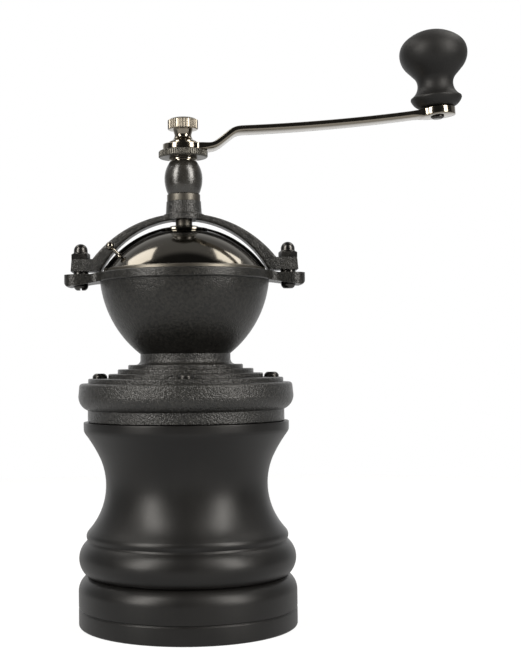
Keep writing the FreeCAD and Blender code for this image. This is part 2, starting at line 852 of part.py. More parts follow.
def make_base_screws():
    screw = make_screw(
        "base_screw", "base_screw_head_r", "base_screw_head_h", "base_screw_shank_r",
        "base_screw_len", pointed=True,
    )
    group("base_screws", screw, int(SIZES["base_screw_count"]), "base_screw_x", "tread_a_z")


def furrows(body, name, foot_r, foot_z, top_r, top_z, size, lean, count, side):
    """Leaning V furrows, evenly around a burr. Their root runs from the foot to the top, and the side
    is 1 for a burr's outside and -1 for its inside."""
    tilt = f"(atan((({top_r}) - ({foot_r})) / (({top_z}) - ({foot_z}))) / (1 deg))"
    furrow = body.newObject("PartDesign::SubtractivePrism", f"{body.Name}_{name}")
    furrow.Polygon = 4
    furrow.setExpression("Circumradius", bound(size))
    furrow.setExpression("Height", bound(f"(({top_z}) - ({foot_z})) / cos({tilt}) + 2 * {size}"))
    place(
        furrow,
        x=f"{foot_r} + {side} * {size} / cos({tilt}) - {size} * sin({tilt})",
        z=f"{foot_z} - {size} * cos({tilt})",
        pitch=tilt,
        roll=lean,
    )
    around(body, [furrow], count)


def make_outer_burr():
    body = new_body("outer_burr")
    body_r = "burr_seat_r - burr_seat_play"
    turned(body, "ring", [
        ("burr_mouth_r", "burr_low_z"),
        ("burr_flange_r", "burr_low_z"),
        ("burr_flange_r", "flange_top_z"),
        (body_r, "flange_top_z"),
        (body_r, "burr_top_z"),
        ("burr_entry_r", "burr_top_z"),
        ("burr_break_r", "burr_break_z"),
    ])
    sink = primitive(
        body, "SubtractiveCone", "sink",
        {"Radius1": "burr_screw_head_r", "Radius2": "burr_screw_shank_r", "Height": "burr_screw_head_h"},
        x="burr_screw_x", y="burr_screw_y", z="burr_low_z",
    )
    through = hole(
        body, "through", "burr_screw_shank_r + screw_play", "burr_flange_t",
        x="burr_screw_x", y="burr_screw_y", z="burr_low_z",
    )
    around(body, [sink, through], "burr_screw_count")
    furrows(
        body, "furrow", "burr_mouth_r + burr_furrow_deep", "burr_low_z",
        "burr_entry_r + 2 * burr_furrow_deep", "burr_top_z", "burr_furrow_size", "-burr_lean",
        "burr_furrows", "-1",
    )


def make_burr_screws():
    screw = make_screw(
        "burr_screw", "burr_screw_head_r", "burr_screw_head_h", "burr_screw_shank_r",
        "burr_screw_len - screw_play", countersunk=True,
    )
    reach = "(burr_flange_r - burr_screw_in)"
    copies = []
    for i in range(int(SIZES["burr_screw_count"])):
        angle = SIZES["burr_screw_angle"] + 360.0 * i / SIZES["burr_screw_count"]
        copy = doc.addObject("App::Link", f"burr_screws_{i + 1}")
        copy.LinkedObject = screw
        copy.LinkTransform = False
        place(copy, f"{reach} * cos({angle})", f"{reach} * sin({angle})", "burr_low_z", roll=HALF_TURN)
        copies.append(copy)
    whole = doc.addObject("Part::Compound", "burr_screws")
    whole.Links = copies
    whole.Label = "burr_screws"
    pieces.append(whole)


def make_inner_burr():
    body = new_body("inner_burr", "cone_bottom_z")
    turned(body, "cone", [
        ("tail_bore_r", "0"),
        ("cone_bottom_r - cone_bevel", "0"),
        ("cone_bottom_r", "cone_bevel"),
        ("cone_break_r", "cone_break_h"),
        ("cone_top_r", "cone_h"),
        ("cone_recess_r", "cone_h"),
        ("cone_recess_r", "cone_h - cone_recess_deep"),
        ("tail_bore_r", "cone_h - cone_recess_deep"),
    ])
    furrows(
        body, "furrow", "cone_bottom_r - burr_furrow_deep", "0", "cone_break_r - burr_furrow_deep",
        "cone_break_h", "burr_furrow_size", "burr_lean", "cone_furrows", "1",
    )
    furrows(
        body, "flute", "cone_break_r - cone_flute_deep", "cone_break_h", "cone_top_r - cone_flute_deep",
        "cone_h", "cone_flute_size", "burr_lean", "cone_flutes", "1",
    )
    primitive(
        body, "AdditiveBox", "key",
        {"Length": "shaft_tail_r * 2", "Width": "shaft_tail_r", "Height": "cone_h - cone_recess_deep"},
        x="-shaft_tail_r", y="tail_flat + running_gap",
    )


def make_burr_fixings():
    ring(
        "burr_washer", "cone_bottom_z - burr_washer_t", "burr_washer_r",
        "tail_bore_r", "burr_washer_t", "burr_washer_edge",
    )
    nut = new_body("burr_nut", "cone_bottom_z - burr_washer_t - burr_nut_t")
    pad(nut, "hex", "XY_Plane", hexagon("burr_nut_flats"), "burr_nut_t")
    hole(nut, "thread", "tail_bore_r", "burr_nut_t")
    ring("lower_bush", "hub_z", "bush_r", "shaft_bore_r", "hub_h")


def make_burr_spring():
    body = new_body("burr_spring", "recess_z")
    sketch = body.newObject("Sketcher::SketchObject", "spring_wire")
    plane = next(o for o in body.Origin.OriginFeatures if o.Role == "XZ_Plane")
    sketch.AttachmentSupport = [(plane, "")]
    sketch.MapMode = "FlatFace"
    middle = FreeCAD.Vector(number("spring_mid_r"), number("spring_wire_r"), 0)
    sketch.addGeometry(Part.Circle(middle, FreeCAD.Vector(0, 0, 1), number("spring_wire_r")))
    sketch.addConstraint([
        Sketcher.Constraint("Radius", 0, number("spring_wire_r")),
        Sketcher.Constraint("DistanceX", -1, 1, 0, 3, number("spring_mid_r")),
        Sketcher.Constraint("DistanceY", -1, 1, 0, 3, number("spring_wire_r")),
    ])
    sketch.setExpression("Constraints[0]", bound("spring_wire_r"))
    sketch.setExpression("Constraints[1]", bound("spring_mid_r"))
    sketch.setExpression("Constraints[2]", bound("spring_wire_r"))
    doc.recompute()
    coil = body.newObject("PartDesign::AdditiveHelix", "spring_coil")
    coil.Profile = sketch
    coil.ReferenceAxis = (sketch, ["V_Axis"])
    coil.Mode = "height-turns-angle"
    coil.setExpression("Height", bound("hub_z - recess_z - 2 * spring_wire_r"))
    coil.setExpression("Turns", bound("spring_turns"))


def make_shaft():
    tail_z = "cone_bottom_z - burr_washer_t - burr_nut_t - shaft_tail_out"
    neck_z = "barrel_z - shaft_travel - face_gap - shaft_neck_step"
    flats_z = "barrel_z - shaft_travel - 2 * face_gap"
    tip_foot = "thumb_z - shaft_travel - 2 * face_gap"
    body = new_body("shaft")
    turned(body, "bar", [
        ("0", tail_z),
        ("shaft_tail_r - shaft_end_bevel", tail_z),
        ("shaft_tail_r", f"{tail_z} + shaft_end_bevel"),
        ("shaft_tail_r", "recess_z"),
        ("shaft_r", "recess_z"),
        ("shaft_r", neck_z),
        ("shaft_neck_r", f"{neck_z} + shaft_neck_step"),
        ("shaft_neck_r", tip_foot),
        ("shaft_tip_r", tip_foot),
        ("shaft_tip_r", "shaft_tip_z - shaft_end_bevel"),
        ("shaft_tip_r - shaft_end_bevel", "shaft_tip_z"),
        ("0", "shaft_tip_z"),
    ])
    for name, y in (("front", "-drive_flats / 2 - shaft_r"), ("back", "drive_flats / 2")):
        primitive(
            body, "SubtractiveBox", f"flat_{name}",
            {"Length": "shaft_r * 2", "Width": "shaft_r", "Height": f"{tip_foot} - ({flats_z})"},
            x="-shaft_r", y=y, z=flats_z,
        )
    primitive(
        body, "SubtractiveBox", "tail_flat",
        {"Length": "shaft_r * 2", "Width": "shaft_r", "Height": "recess_z - cone_bottom_z"},
        x="-shaft_r", y="tail_flat", z="cone_bottom_z",
    )


def drive_hole(body, height, z="0"):
    """The hole with two flats that the shaft's upper end turns."""
    half = "drive_flats / 2 + running_gap"
    reach = f"sqrt(neck_bore_r ^ 2 - ({half}) ^ 2)"
    pocket(body, "drive_hole", "XY_Plane", [
        (reach, f"-({half})"),
        (reach, half, "neck_bore_r", "left"),
        (f"-{reach}", half),
        (f"-{reach}", f"-({half})", "neck_bore_r", "left"),
    ], height, z)


def make_hopper_bowl():
    body = new_body("hopper_bowl")
    spigot_z = "spigot_low_z + screw_play"
    turned(body, "bowl", [
        ("throat_r", spigot_z),
        ("spigot_r - screw_play", spigot_z),
        ("spigot_r - screw_play", "neck_top_z"),
        ("neck_r", "neck_top_z"),
        ("rim_low_r", "rim_low_z", "bowl_r", "left"),
        ("rim_r", "rim_low_z"),
        ("rim_r", "rim_top_z"),
        ("rebate_r", "rim_top_z"),
        ("rebate_r", "rebate_z"),
        ("bowl_x + sqrt(bowl_in_r ^ 2 - (rebate_z - bowl_z) ^ 2)", "rebate_z"),
        ("throat_r", "bowl_z - sqrt(bowl_in_r ^ 2 - (throat_r - bowl_x) ^ 2)", "bowl_in_r", "right"),
    ])
    soften(body, "rim_edges", "rim_edge", ring_at(("rim_r", "rim_top_z"), ("rim_r", "rim_low_z")))
    blend_x = "sqrt((rim_r + ear_blend) ^ 2 - (ear_w / 2 + ear_blend) ^ 2)"
    share = "rim_r / (rim_r + ear_blend)"
    meet_x = f"{share} * {blend_x}"
    meet_y = f"{share} * (ear_w / 2 + ear_blend)"
    inside_r = "((rim_low_r + rim_r) / 2)"
    inside_x = f"{inside_r} / rim_r * {meet_x}"
    inside_y = f"{inside_r} / rim_r * {meet_y}"
    ear = pad(body, "ear", "XY_Plane", [
        (inside_x, f"-{inside_y}", inside_r, "right"),
        (meet_x, f"-{meet_y}"),
        (blend_x, "-ear_w / 2", "ear_blend", "right"),
        ("ear_tip_x - ear_corner", "-ear_w / 2"),
        ("ear_tip_x", "-ear_w / 2 + ear_corner", "ear_corner", "left"),
        ("ear_tip_x", "ear_w / 2 - ear_corner"),
        ("ear_tip_x - ear_corner", "ear_w / 2", "ear_corner", "left"),
        (blend_x, "ear_w / 2"),
        (meet_x, meet_y, "ear_blend", "right"),
        (inside_x, inside_y),
    ], "rim_top_z - ear_low_z", z="ear_low_z")
    around(body, [ear], "2")
    turned(body, "ear_top", [
        ("rim_r", "rim_top_z"),
        ("rim_r + ear_ramp", "ear_top_z"),
        ("ear_tip_x + cut_over", "ear_top_z"),
        ("ear_tip_x + cut_over", "rim_top_z + cut_over"),
        ("rim_r", "rim_top_z + cut_over"),
    ], cut=True)
    fall = "(rim_low_z - ear_low_z) / (ear_tip_x - rim_r)"
    clear_r = "(rim_low_r + ear_clear)"
    turned(body, "ear_underside", [
        (clear_r, "ear_low_z - cut_over"),
        ("ear_tip_x + cut_over", "ear_low_z - cut_over"),
        ("ear_tip_x + cut_over", "ear_low_z + ear_edge"),
        ("ear_tip_x", "ear_low_z + ear_edge"),
        ("ear_tip_x - ear_edge", f"ear_low_z + ({fall}) * ear_edge", "ear_edge", "right"),
        (clear_r, f"rim_low_z + ({fall}) * (rim_r - {clear_r})"),
    ], cut=True)
    bolt = hole(
        body, "ear_hole", "ear_hole_r", "ear_top_z - ear_seat_z",
        x="ear_hole_x", z="ear_seat_z",
    )
    seat = hole(
        body, "ear_seat", "ear_screw_head_r + ear_seat_play", "ear_seat_z - ear_low_z + cut_over",
        x="ear_hole_x", z="ear_low_z - cut_over",
    )
    around(body, [bolt, seat], "2")


def make_yoke():
    body = new_body("yoke")
    inner = "(foot_in_x ^ 2 + (arch_low_z - foot_z) ^ 2) / (2 * (arch_low_z - foot_z))"
    outer = "(foot_top_x ^ 2 + (arch_top_z - foot_top_z) ^ 2) / (2 * (arch_top_z - foot_top_z))"
    pad(body, "arch", "XZ_Plane", [
        ("foot_in_x", "foot_z", inner, "right"),
        ("foot_tip_x", "foot_z"),
        ("foot_tip_x - foot_draft", "foot_top_z"),
        ("foot_top_x", "foot_top_z"),
        ("-foot_top_x", "foot_top_z", outer, "left"),
        ("foot_draft - foot_tip_x", "foot_top_z"),
        ("-foot_tip_x", "foot_z"),
        ("-foot_in_x", "foot_z"),
    ], "arch_w", midplane=True)
    foot_low, low_arch = number("foot_z"), number("arch_low_z")

    def arch_edge(edge):
        box = edge.BoundBox
        return box.YLength < NEAR and box.ZMax > low_arch - NEAR and box.ZMin > foot_low - NEAR

    soften(body, "edges", "arch_edge", arch_edge)
    turned(body, "boss", [
        ("0", "arch_low_z"),
        ("boss_r", "arch_low_z"),
        ("boss_r", "boss_foot_z"),
        ("boss_mid_r", "boss_foot_z + boss_r - boss_mid_r", "boss_r - boss_mid_r", "right"),
        ("boss_top_r", "boss_top_z"),
        ("0", "boss_top_z"),
    ])
    hole(body, "boss_bore", "bush_r", "boss_top_z - arch_low_z + cut_over", z="arch_low_z - cut_over")
    bolt = hole(body, "foot_hole", "ear_hole_r", "foot_h", x="ear_hole_x", z="foot_z")
    around(body, [bolt], "2")


def pair(name, master, z, right_yaw, left_yaw, roll="0"):
    """One file for the two equal fasteners of the ears, each turned by its own angle."""
    copies = []
    for side, sign, yaw in (("right", "1", right_yaw), ("left", "-1", left_yaw)):
        copy = doc.addObject("App::Link", f"{name}_{side}")
        copy.LinkedObject = master
        copy.LinkTransform = False
        place(copy, f"{sign} * ear_hole_x", z=z, yaw=yaw, roll=roll)
        copies.append(copy)
    whole = doc.addObject("Part::Compound", name)
    whole.Links = copies
    whole.Label = name
    pieces.append(whole)


def make_ear_fixings():
    screw = make_screw(
        "ear_screw", "ear_screw_head_r", "ear_screw_head_h", "ear_screw_r",
        "foot_top_z - ear_seat_z + cap_nut_h - cap_nut_top_wall - ear_screw_end",
    )
    pair("ear_screws", screw, "ear_seat_z", "0", "90", roll=HALF_TURN)
    washer = new_body("ear_washer", keep=False)
    turned(washer, "ring", [
        ("ear_hole_r", "0"),
        ("ear_washer_r", "0"),
        ("ear_washer_r", "ear_washer_t"),
        ("ear_hole_r", "ear_washer_t"),
    ])
    pair("ear_washers", washer, "ear_top_z", "0", "0")
    nut = new_body("cap_nut", keep=False)
    pad(nut, "hex", "XY_Plane", hexagon("cap_nut_flats"), "cap_nut_hex_h")
    turned(nut, "dome", [
        ("0", "cap_nut_hex_h - cap_nut_sunk"),
        ("cap_nut_dome_r + cap_nut_cove", "cap_nut_hex_h - cap_nut_sunk"),
        ("cap_nut_dome_r", "cap_nut_hex_h + cap_nut_cove_h"),
        ("cap_nut_dome_r", "cap_nut_h - cap_nut_dome_r"),
        ("0", "cap_nut_h", "cap_nut_dome_r", "left"),
    ])
    hole(nut, "thread", "ear_hole_r", "cap_nut_h - cap_nut_top_wall")
    pair("cap_nuts", nut, "foot_top_z", "-cap_nut_turn", "cap_nut_turn")


def make_upper_bush():
    body = new_body("upper_bush")
    turned(body, "bush", [
        ("shaft_bore_r", "arch_low_z"),
        ("bush_r", "arch_low_z"),
        ("bush_r", "boss_top_z"),
        ("bush_flange_r", "boss_top_z"),
        ("bush_flange_r", "bush_top_z"),
        ("shaft_bore_r", "bush_top_z"),
    ])
    soften(body, "edges", "bush_edge", ring_at(
        ("bush_flange_r", "boss_top_z"), ("bush_flange_r", "bush_top_z"),
    ))


def make_ball_spacer():
    body = new_body("ball_spacer", "barrel_z")
    low = "((barrel_mid_r - barrel_low_r) ^ 2 + barrel_mid_h ^ 2) / (2 * (barrel_mid_r - barrel_low_r))"
    rest = "(barrel_h - barrel_mid_h)"
    top = f"((barrel_mid_r - barrel_top_r) ^ 2 + {rest} ^ 2) / (2 * (barrel_mid_r - barrel_top_r))"
    turned(body, "barrel", [
        ("0", "0"),
        ("barrel_low_r", "0"),
        ("barrel_mid_r", "barrel_mid_h", low, "left"),
        ("barrel_top_r", "barrel_h", top, "left"),
        ("0", "barrel_h"),
    ])
    drive_hole(body, "barrel_h")


def make_spacer_collar():
    body = new_body("spacer_collar", "collar_z")
    turned(body, "collar", [
        ("neck_bore_r", "0"),
        ("collar_low_r", "0"),
        ("collar_low_r", "collar_low_h"),
        ("collar_r", "collar_low_h"),
        ("collar_r", "collar_t"),
        ("neck_bore_r", "collar_t"),
    ])


def knurl(body, r, deep, low, high, count):
    """Straight V grooves, evenly around the rim from the height low to the height high."""
    side = f"({deep}) * 2"
    groove = primitive(
        body, "SubtractiveBox", "knurl", {"Length": side, "Width": side, "Height": f"{high} - ({low})"},
        x=f"{r} - ({deep})", z=low, yaw="-45",
    )
    around(body, [groove], count)


def make_adjusting_nut():
    body = new_body("adjusting_nut", "adjuster_z")
    turned(body, "disc", [
        ("neck_bore_r", "0"),
        ("adjuster_r - adjuster_bevel", "0"),
        ("adjuster_r", "adjuster_bevel"),
        ("adjuster_r", "adjuster_t - adjuster_bevel"),
        ("adjuster_r - adjuster_bevel", "adjuster_t"),
        ("neck_bore_r", "adjuster_t"),
    ])
    knurl(body, "adjuster_r", "adjuster_knurl_deep", "0", "adjuster_t", "adjuster_knurls")


def make_crank_arm():
    body = new_body("crank_arm", "arm_mid_z")
    climb = "(atan(arm_rise / (arm_high_x - arm_low_x)) / (1 deg))"
    reach, rise = "(arm_end_x - arm_high_x)", "(arm_end_rise - arm_rise)"
    chord = f"(atan({rise} / {reach}) / (1 deg))"
    bow = f"(asin(sqrt({reach} ^ 2 + {rise} ^ 2) / (2 * arm_bow)) / (1 deg))"
    start_slope, end_slope = f"({chord} - {bow})", f"({chord} + {bow})"
    low_shift = f"arm_t / 2 * tan({climb} / 2)"
    high_out = f"arm_t / 2 / cos(({climb} - {start_slope}) / 2)"
    high_lean = f"({climb} + {start_slope}) / 2"
    across, up = f"arm_t / 2 * sin({end_slope})", f"arm_t / 2 * cos({end_slope})"
    pad(body, "bar", "XZ_Plane", [
        ("0", "-arm_t / 2"),
        (f"arm_low_x + {low_shift}", "-arm_t / 2"),
        (f"arm_high_x + sin({high_lean}) * {high_out}", f"arm_rise - cos({high_lean}) * {high_out}"),
        (f"arm_end_x + {across}", f"arm_end_rise - {up}", "arm_bow - arm_t / 2", "left"),
        (f"arm_end_x - {across}", f"arm_end_rise + {up}"),
        (f"arm_high_x - sin({high_lean}) * {high_out}", f"arm_rise + cos({high_lean}) * {high_out}",
         "arm_bow + arm_t / 2", "right"),
        (f"arm_low_x - {low_shift}", "arm_t / 2"),
        ("0", "arm_t / 2"),
    ], "arm_w", midplane=True)
    inner, outer = "arm_bend", "arm_bend + arm_t"
    for name, radius, x in (
        ("low_inside", inner, f"arm_low_x - {low_shift}"),
        ("low_outside", outer, f"arm_low_x + {low_shift}"),
        ("high_inside", inner, f"arm_high_x + sin({high_lean}) * {high_out}"),
        ("high_outside", outer, f"arm_high_x - sin({high_lean}) * {high_out}"),
    ):
        at_x = number(x)
        soften(body, name, radius, lambda edge: edge.BoundBox.XLength < NEAR
               and edge.BoundBox.YLength > NEAR and abs(edge.BoundBox.XMin - at_x) < 10 * NEAR)
    for name, sign in (("front", "-1"), ("back", "1")):
        pocket(body, f"taper_{name}", "XY_Plane", [
            ("0", f"{sign} * arm_w / 2"),
            ("arm_end_x + cut_over", f"{sign} * arm_end_w / 2"),
            ("arm_end_x + cut_over", f"{sign} * arm_w"),
            ("0", f"{sign} * arm_w"),
        ], "arm_end_rise + 2 * arm_t", z="-arm_t")
    boss(body, "eye", "arm_eye_r", "arm_t", z="-arm_t / 2")
    spot = {
        "x": "arm_end_x + arm_end_t / 2 * sin(arm_end_slope)",
        "z": "arm_end_rise - arm_end_t / 2 * cos(arm_end_slope)",
        "pitch": "-arm_end_slope",
    }
    boss(body, "end_eye", "arm_end_r", "arm_end_t", **spot)
    hole(body, "pin_hole", "pin_r + pin_play", "arm_end_t", **spot)
    drive_hole(body, "arm_t", "-arm_t / 2")


def make_thumb_nut():
    body = new_body("thumb_nut", "thumb_z")
    cove = (
        "((thumb_foot_r - thumb_neck_r) ^ 2 + (thumb_neck_h - thumb_foot_h) ^ 2)"
        " / (2 * (thumb_foot_r - thumb_neck_r))"
    )
    turned(body, "nut", [
        ("tip_bore_r", "0"),
        ("thumb_foot_r", "0"),
        ("thumb_foot_r", "thumb_foot_h"),
        ("thumb_neck_r", "thumb_neck_h", cove, "right"),
        ("thumb_neck_top_r", "thumb_head_low_h"),
        ("thumb_head_r - thumb_knurl_deep", "thumb_head_low_h"),
        ("thumb_head_r", "thumb_head_low_h + thumb_knurl_deep"),
        ("thumb_head_r", "thumb_head_top_h"),
        ("thumb_top_r", "thumb_h"),
        ("0", "thumb_h"),
        ("0", "thumb_h - thumb_top_wall"),
        ("tip_bore_r", "thumb_h - thumb_top_wall"),
    ])
    knurl(body, "thumb_head_r", "thumb_knurl_deep", "thumb_head_low_h", "thumb_head_top_h", "thumb_knurls")


def on_arm_end(body, out):
    """Puts the body on the axis of the arm's end eye, out from the middle of the bar."""
    place(
        body,
        x=f"arm_end_x - ({out}) * sin(arm_end_slope)",
        z=f"arm_end_z + ({out}) * cos(arm_end_slope)",
        pitch="-arm_end_slope",
    )


def make_knob():
    body = new_body("knob")
    on_arm_end(body, "arm_end_t / 2 + knob_gap")
    sine, cosine = "sin(knob_flank_slope)", "cos(knob_flank_slope)"
    neck_end_r = f"(knob_neck_r + knob_neck_round * (1 - {cosine}))"
    neck_end_h = f"(knob_neck_h + knob_neck_round * {sine})"
    # The head's round starts where the straight flank meets it, with its fullest ring at head_r, head_h
    flank_r, flank_h = f"(knob_head_r - {neck_end_r})", f"(knob_head_h - {neck_end_h})"
    head_round = f"(({flank_h} * {sine} - {flank_r} * {cosine}) / (1 - {cosine}))"
    cove_r, cove_h = "(knob_skirt_r - knob_step)", "(knob_skirt_h + knob_step_h)"
    cove = (
        f"(({cove_r} - knob_neck_r) ^ 2 + (knob_neck_h - {cove_h}) ^ 2) / (2 * ({cove_r} - knob_neck_r))"
    )
    cap_centre = "(knob_h - knob_top_round)"
    drop = f"(knob_head_h - {cap_centre})"
    corner = f"((knob_top_round ^ 2 - knob_head_r ^ 2 - {drop} ^ 2) / (2 * (knob_top_round - knob_head_r)))"
    span = f"(knob_top_round - {corner})"
    cap_r = f"knob_top_round * (knob_head_r - {corner}) / {span}"
    cap_h = f"{cap_centre} + knob_top_round * {drop} / {span}"
    turned(body, "wood", [
        ("pin_r + pin_play", "0"),
        ("knob_foot_r", "0"),
        ("knob_skirt_r", "knob_skirt_h", "knob_skirt_round", "left"),
        (cove_r, cove_h),
        ("knob_neck_r", "knob_neck_h", cove, "right"),
        (neck_end_r, neck_end_h, "knob_neck_round", "right"),
        (f"knob_head_r - {head_round} * (1 - {cosine})", f"knob_head_h - {head_round} * {sine}"),
        ("knob_head_r", "knob_head_h", head_round, "left"),
        (cap_r, cap_h, corner, "left"),
        ("knob_well_r", f"{cap_centre} + sqrt(knob_top_round ^ 2 - knob_well_r ^ 2)", "knob_top_round",
         "left"),
        ("knob_well_r", "knob_well_h"),
        ("pin_r + pin_play", "knob_well_h"),
    ])


def make_knob_pin():
    body = new_body("knob_pin")
    on_arm_end(body, "0")
    under = "-arm_end_t / 2"
    head_z = "arm_end_t / 2 + knob_gap + knob_well_h + face_gap"
    turned(body, "pin", [
        ("0", f"{under} - pin_rivet_h"),
        ("pin_rivet_flat_r", f"{under} - pin_rivet_h"),
        ("pin_rivet_r", f"{under} - pin_rivet_h / 2"),
        ("pin_rivet_r", under),
        ("pin_r", under),
        ("pin_r", head_z),
        ("pin_head_r", head_z),
        ("pin_head_r", f"{head_z} + pin_head_h * head_side_share"),
        ("pin_head_r * head_flat_share", f"{head_z} + pin_head_h", "pin_head_r * head_round_share",
         "left"),
        ("0", f"{head_z} + pin_head_h"),
    ])


def shell_section(inset, low, hole_r):
    """Half section of a pressed sheet: flat top, round crown, upright skirt. Inset moves it inwards."""
    flat_z = f"dome_flat_z - {inset}"
    outer_r = f"(dome_r - {inset})"
    side_r = f"(skirt_r - {inset})"
    inner_r = f"({outer_r} - sheet_t)"
    inner_side = f"({side_r} - sheet_t)"
    flat_edge = f"sqrt({outer_r} ^ 2 - ({flat_z} - dome_z) ^ 2)"
    inner_flat = f"sqrt({inner_r} ^ 2 - ({flat_z} - sheet_t - dome_z) ^ 2)"
    return [
        (inner_side, low),
        (side_r, low),
        (side_r, f"dome_z + sqrt({outer_r} ^ 2 - {side_r} ^ 2)"),
        (flat_edge, flat_z, outer_r, "left"),
        (hole_r, flat_z),
        (hole_r, f"{flat_z} - sheet_t"),
        (inner_flat, f"{flat_z} - sheet_t"),
        (inner_side, f"dome_z + sqrt({inner_r} ^ 2 - {inner_side} ^ 2)", inner_r, "right"),
    ]


def sector(start, end, inner, outer):
    """A ring sector from the angle start to the angle end, which is under a half turn further."""
    return [
        (f"{inner} * cos({start})", f"{inner} * sin({start})", inner, "right"),
        (f"{outer} * cos({start})", f"{outer} * sin({start})"),
        (f"{outer} * cos({end})", f"{outer} * sin({end})", outer, "left"),
        (f"{inner} * cos({end})", f"{inner} * sin({end})"),
    ]


def make_dome():
    body = new_body("dome")
    turned(body, "shell", shell_section("0", "rebate_z", "ferrule_r + running_gap"))
    pocket(
        body, "window", "XY_Plane", sector("window_start", "window_end", "dome_hub_r", "rim_r"),
        "dome_r", z="rebate_z - cut_over",
    )


def make_dome_door():
    body = new_body("dome_door")
    low = "rebate_z + sheet_gap"
    turned(body, "shell", shell_section("sheet_step", low, "ferrule_r + running_gap"))
    middle = "((window_start + window_end) / 2 + 180)"
    for name, start, end in (
        ("first_half", "(window_end + door_lap)", middle),
        ("second_half", middle, "(window_start - door_lap + 360)"),
    ):
        pocket(
            body, name, "XY_Plane", sector(start, end, "door_hub_r", "rim_r"), "dome_r",
            z=f"{low} - cut_over",
        )
    hole(
        body, "stem_hole", "door_stem_r + running_gap", "sheet_t + 2 * cut_over",
        **door_knob_spot("-sheet_t - cut_over"),
    )


def door_knob_spot(out):
    """A place on the line from the dome's centre through the small ball, out from the door's outside."""
    reach = f"(door_r + ({out}))"
    return {
        "x": f"{reach} * cos(door_knob_rise) * cos(door_knob_angle)",
        "y": f"{reach} * cos(door_knob_rise) * sin(door_knob_angle)",
        "z": f"dome_z + {reach} * sin(door_knob_rise)",
        "yaw": "door_knob_angle",
        "pitch": "90 - door_knob_rise",
    }


def make_door_knob():
    body = new_body("door_knob")
    place(body, **door_knob_spot("0"))
    ball_h = "(door_knob_out + sheet_step)"
    seat = "(sqrt(door_r ^ 2 - (door_stem_r + running_gap) ^ 2) - door_r)"
    under = "(door_r - sqrt((door_r - sheet_t) ^ 2 - door_foot_r ^ 2))"
    neck_h = f"{ball_h} - sqrt(door_knob_r ^ 2 - door_stem_r ^ 2)"
    turned(body, "ball", [
        ("0", f"-{under} - door_foot_t"),
        ("door_foot_r", f"-{under} - door_foot_t"),
        ("door_foot_r", f"-{under}"),
        ("door_stem_r", f"-{under}"),
        ("door_stem_r", seat),
        ("door_foot_r", seat),
        ("door_foot_r - flange_bevel", f"{seat} + door_foot_t"),
        ("door_stem_r", f"{seat} + door_foot_t"),
        ("door_stem_r", neck_h),
        ("door_knob_r", ball_h, "door_knob_r", "left"),
        ("0", f"{ball_h} + door_knob_r", "door_knob_r", "left"),
    ])


def make_dome_ferrule():
    body = new_body("dome_ferrule")
    low_face = "dome_flat_z - sheet_step - sheet_t - running_gap"
    turned(body, "rivet", [
        ("ferrule_bore_r", f"{low_face} - ferrule_flange_t"),
        ("ferrule_flange_r", f"{low_face} - ferrule_flange_t"),
        ("ferrule_flange_r", low_face),
        ("ferrule_r", low_face),
        ("ferrule_r", "dome_flat_z"),
        ("ferrule_flange_r", "dome_flat_z"),
        ("ferrule_flange_r - flange_bevel", "dome_flat_z + ferrule_flange_t"),
        ("ferrule_bore_r", "dome_flat_z + ferrule_flange_t"),
    ])


def check_and_write():
    """Stops with a message if anything failed, then writes one STEP file for each kept piece."""
    doc.recompute()
    failed = [o.Label for o in doc.Objects if {"Invalid", "Error"} & set(o.State)]
    for piece in pieces:
        shape = piece.Shape
        if shape.isNull() or not shape.isValid() or not shape.Solids:
            failed.append(piece.Label)
    if failed:
        raise RuntimeError("failed: " + ", ".join(failed))
    os.makedirs("parts", exist_ok=True)
    for piece in pieces:
        piece.Shape.exportStep(f"parts/{piece.Label}.step")
        print(f"{piece.Label}: {len(piece.Shape.Solids)} solid, {piece.Shape.Volume:.1f} mm3")


make_grounds_cup()
make_wood_housing()
make_base_casting()
make_base_screws()
make_outer_burr()
make_burr_screws()
make_inner_burr()
make_burr_fixings()
make_burr_spring()
make_shaft()
make_hopper_bowl()
make_yoke()
make_ear_fixings()
make_upper_bush()
make_ball_spacer()
make_spacer_collar()
make_adjusting_nut()
make_crank_arm()
make_thumb_nut()
make_knob()
make_knob_pin()
make_dome()
make_dome_door()
make_door_knob()
make_dome_ferrule()
check_and_write()
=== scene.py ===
"""A hand-cranked coffee grinder in black wood and iron, built around its CAD frame.

Lengths in the shapes are millimetres in the frame's own axes: Z up through the crankshaft, the crank
towards +X, the dome's door towards -Y. Each mesh is brought to metres once, when it is made.
"""

import json

import bpy
import numpy as np
from mathutils import Matrix, Vector


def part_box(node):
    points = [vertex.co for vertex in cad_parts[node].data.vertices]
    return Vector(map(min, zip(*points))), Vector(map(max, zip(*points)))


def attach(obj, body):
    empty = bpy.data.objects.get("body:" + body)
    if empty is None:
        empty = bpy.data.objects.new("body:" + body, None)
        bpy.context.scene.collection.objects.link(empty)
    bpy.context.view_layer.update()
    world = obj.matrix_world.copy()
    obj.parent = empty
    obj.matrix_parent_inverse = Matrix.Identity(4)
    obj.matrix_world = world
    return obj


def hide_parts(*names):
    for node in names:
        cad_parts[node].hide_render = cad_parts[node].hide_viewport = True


MM = 0.001
TURN = 2 * np.pi

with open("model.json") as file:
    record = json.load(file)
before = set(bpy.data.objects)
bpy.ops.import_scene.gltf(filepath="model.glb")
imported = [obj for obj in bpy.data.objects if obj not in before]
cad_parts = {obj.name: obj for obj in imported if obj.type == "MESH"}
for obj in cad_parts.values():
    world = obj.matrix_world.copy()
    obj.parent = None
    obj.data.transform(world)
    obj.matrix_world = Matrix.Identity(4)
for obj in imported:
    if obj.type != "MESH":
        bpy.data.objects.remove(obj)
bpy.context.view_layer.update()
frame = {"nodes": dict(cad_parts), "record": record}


def low(node):
    """Height of the node's lowest point, in millimetres."""
    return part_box(node)[0].z / MM


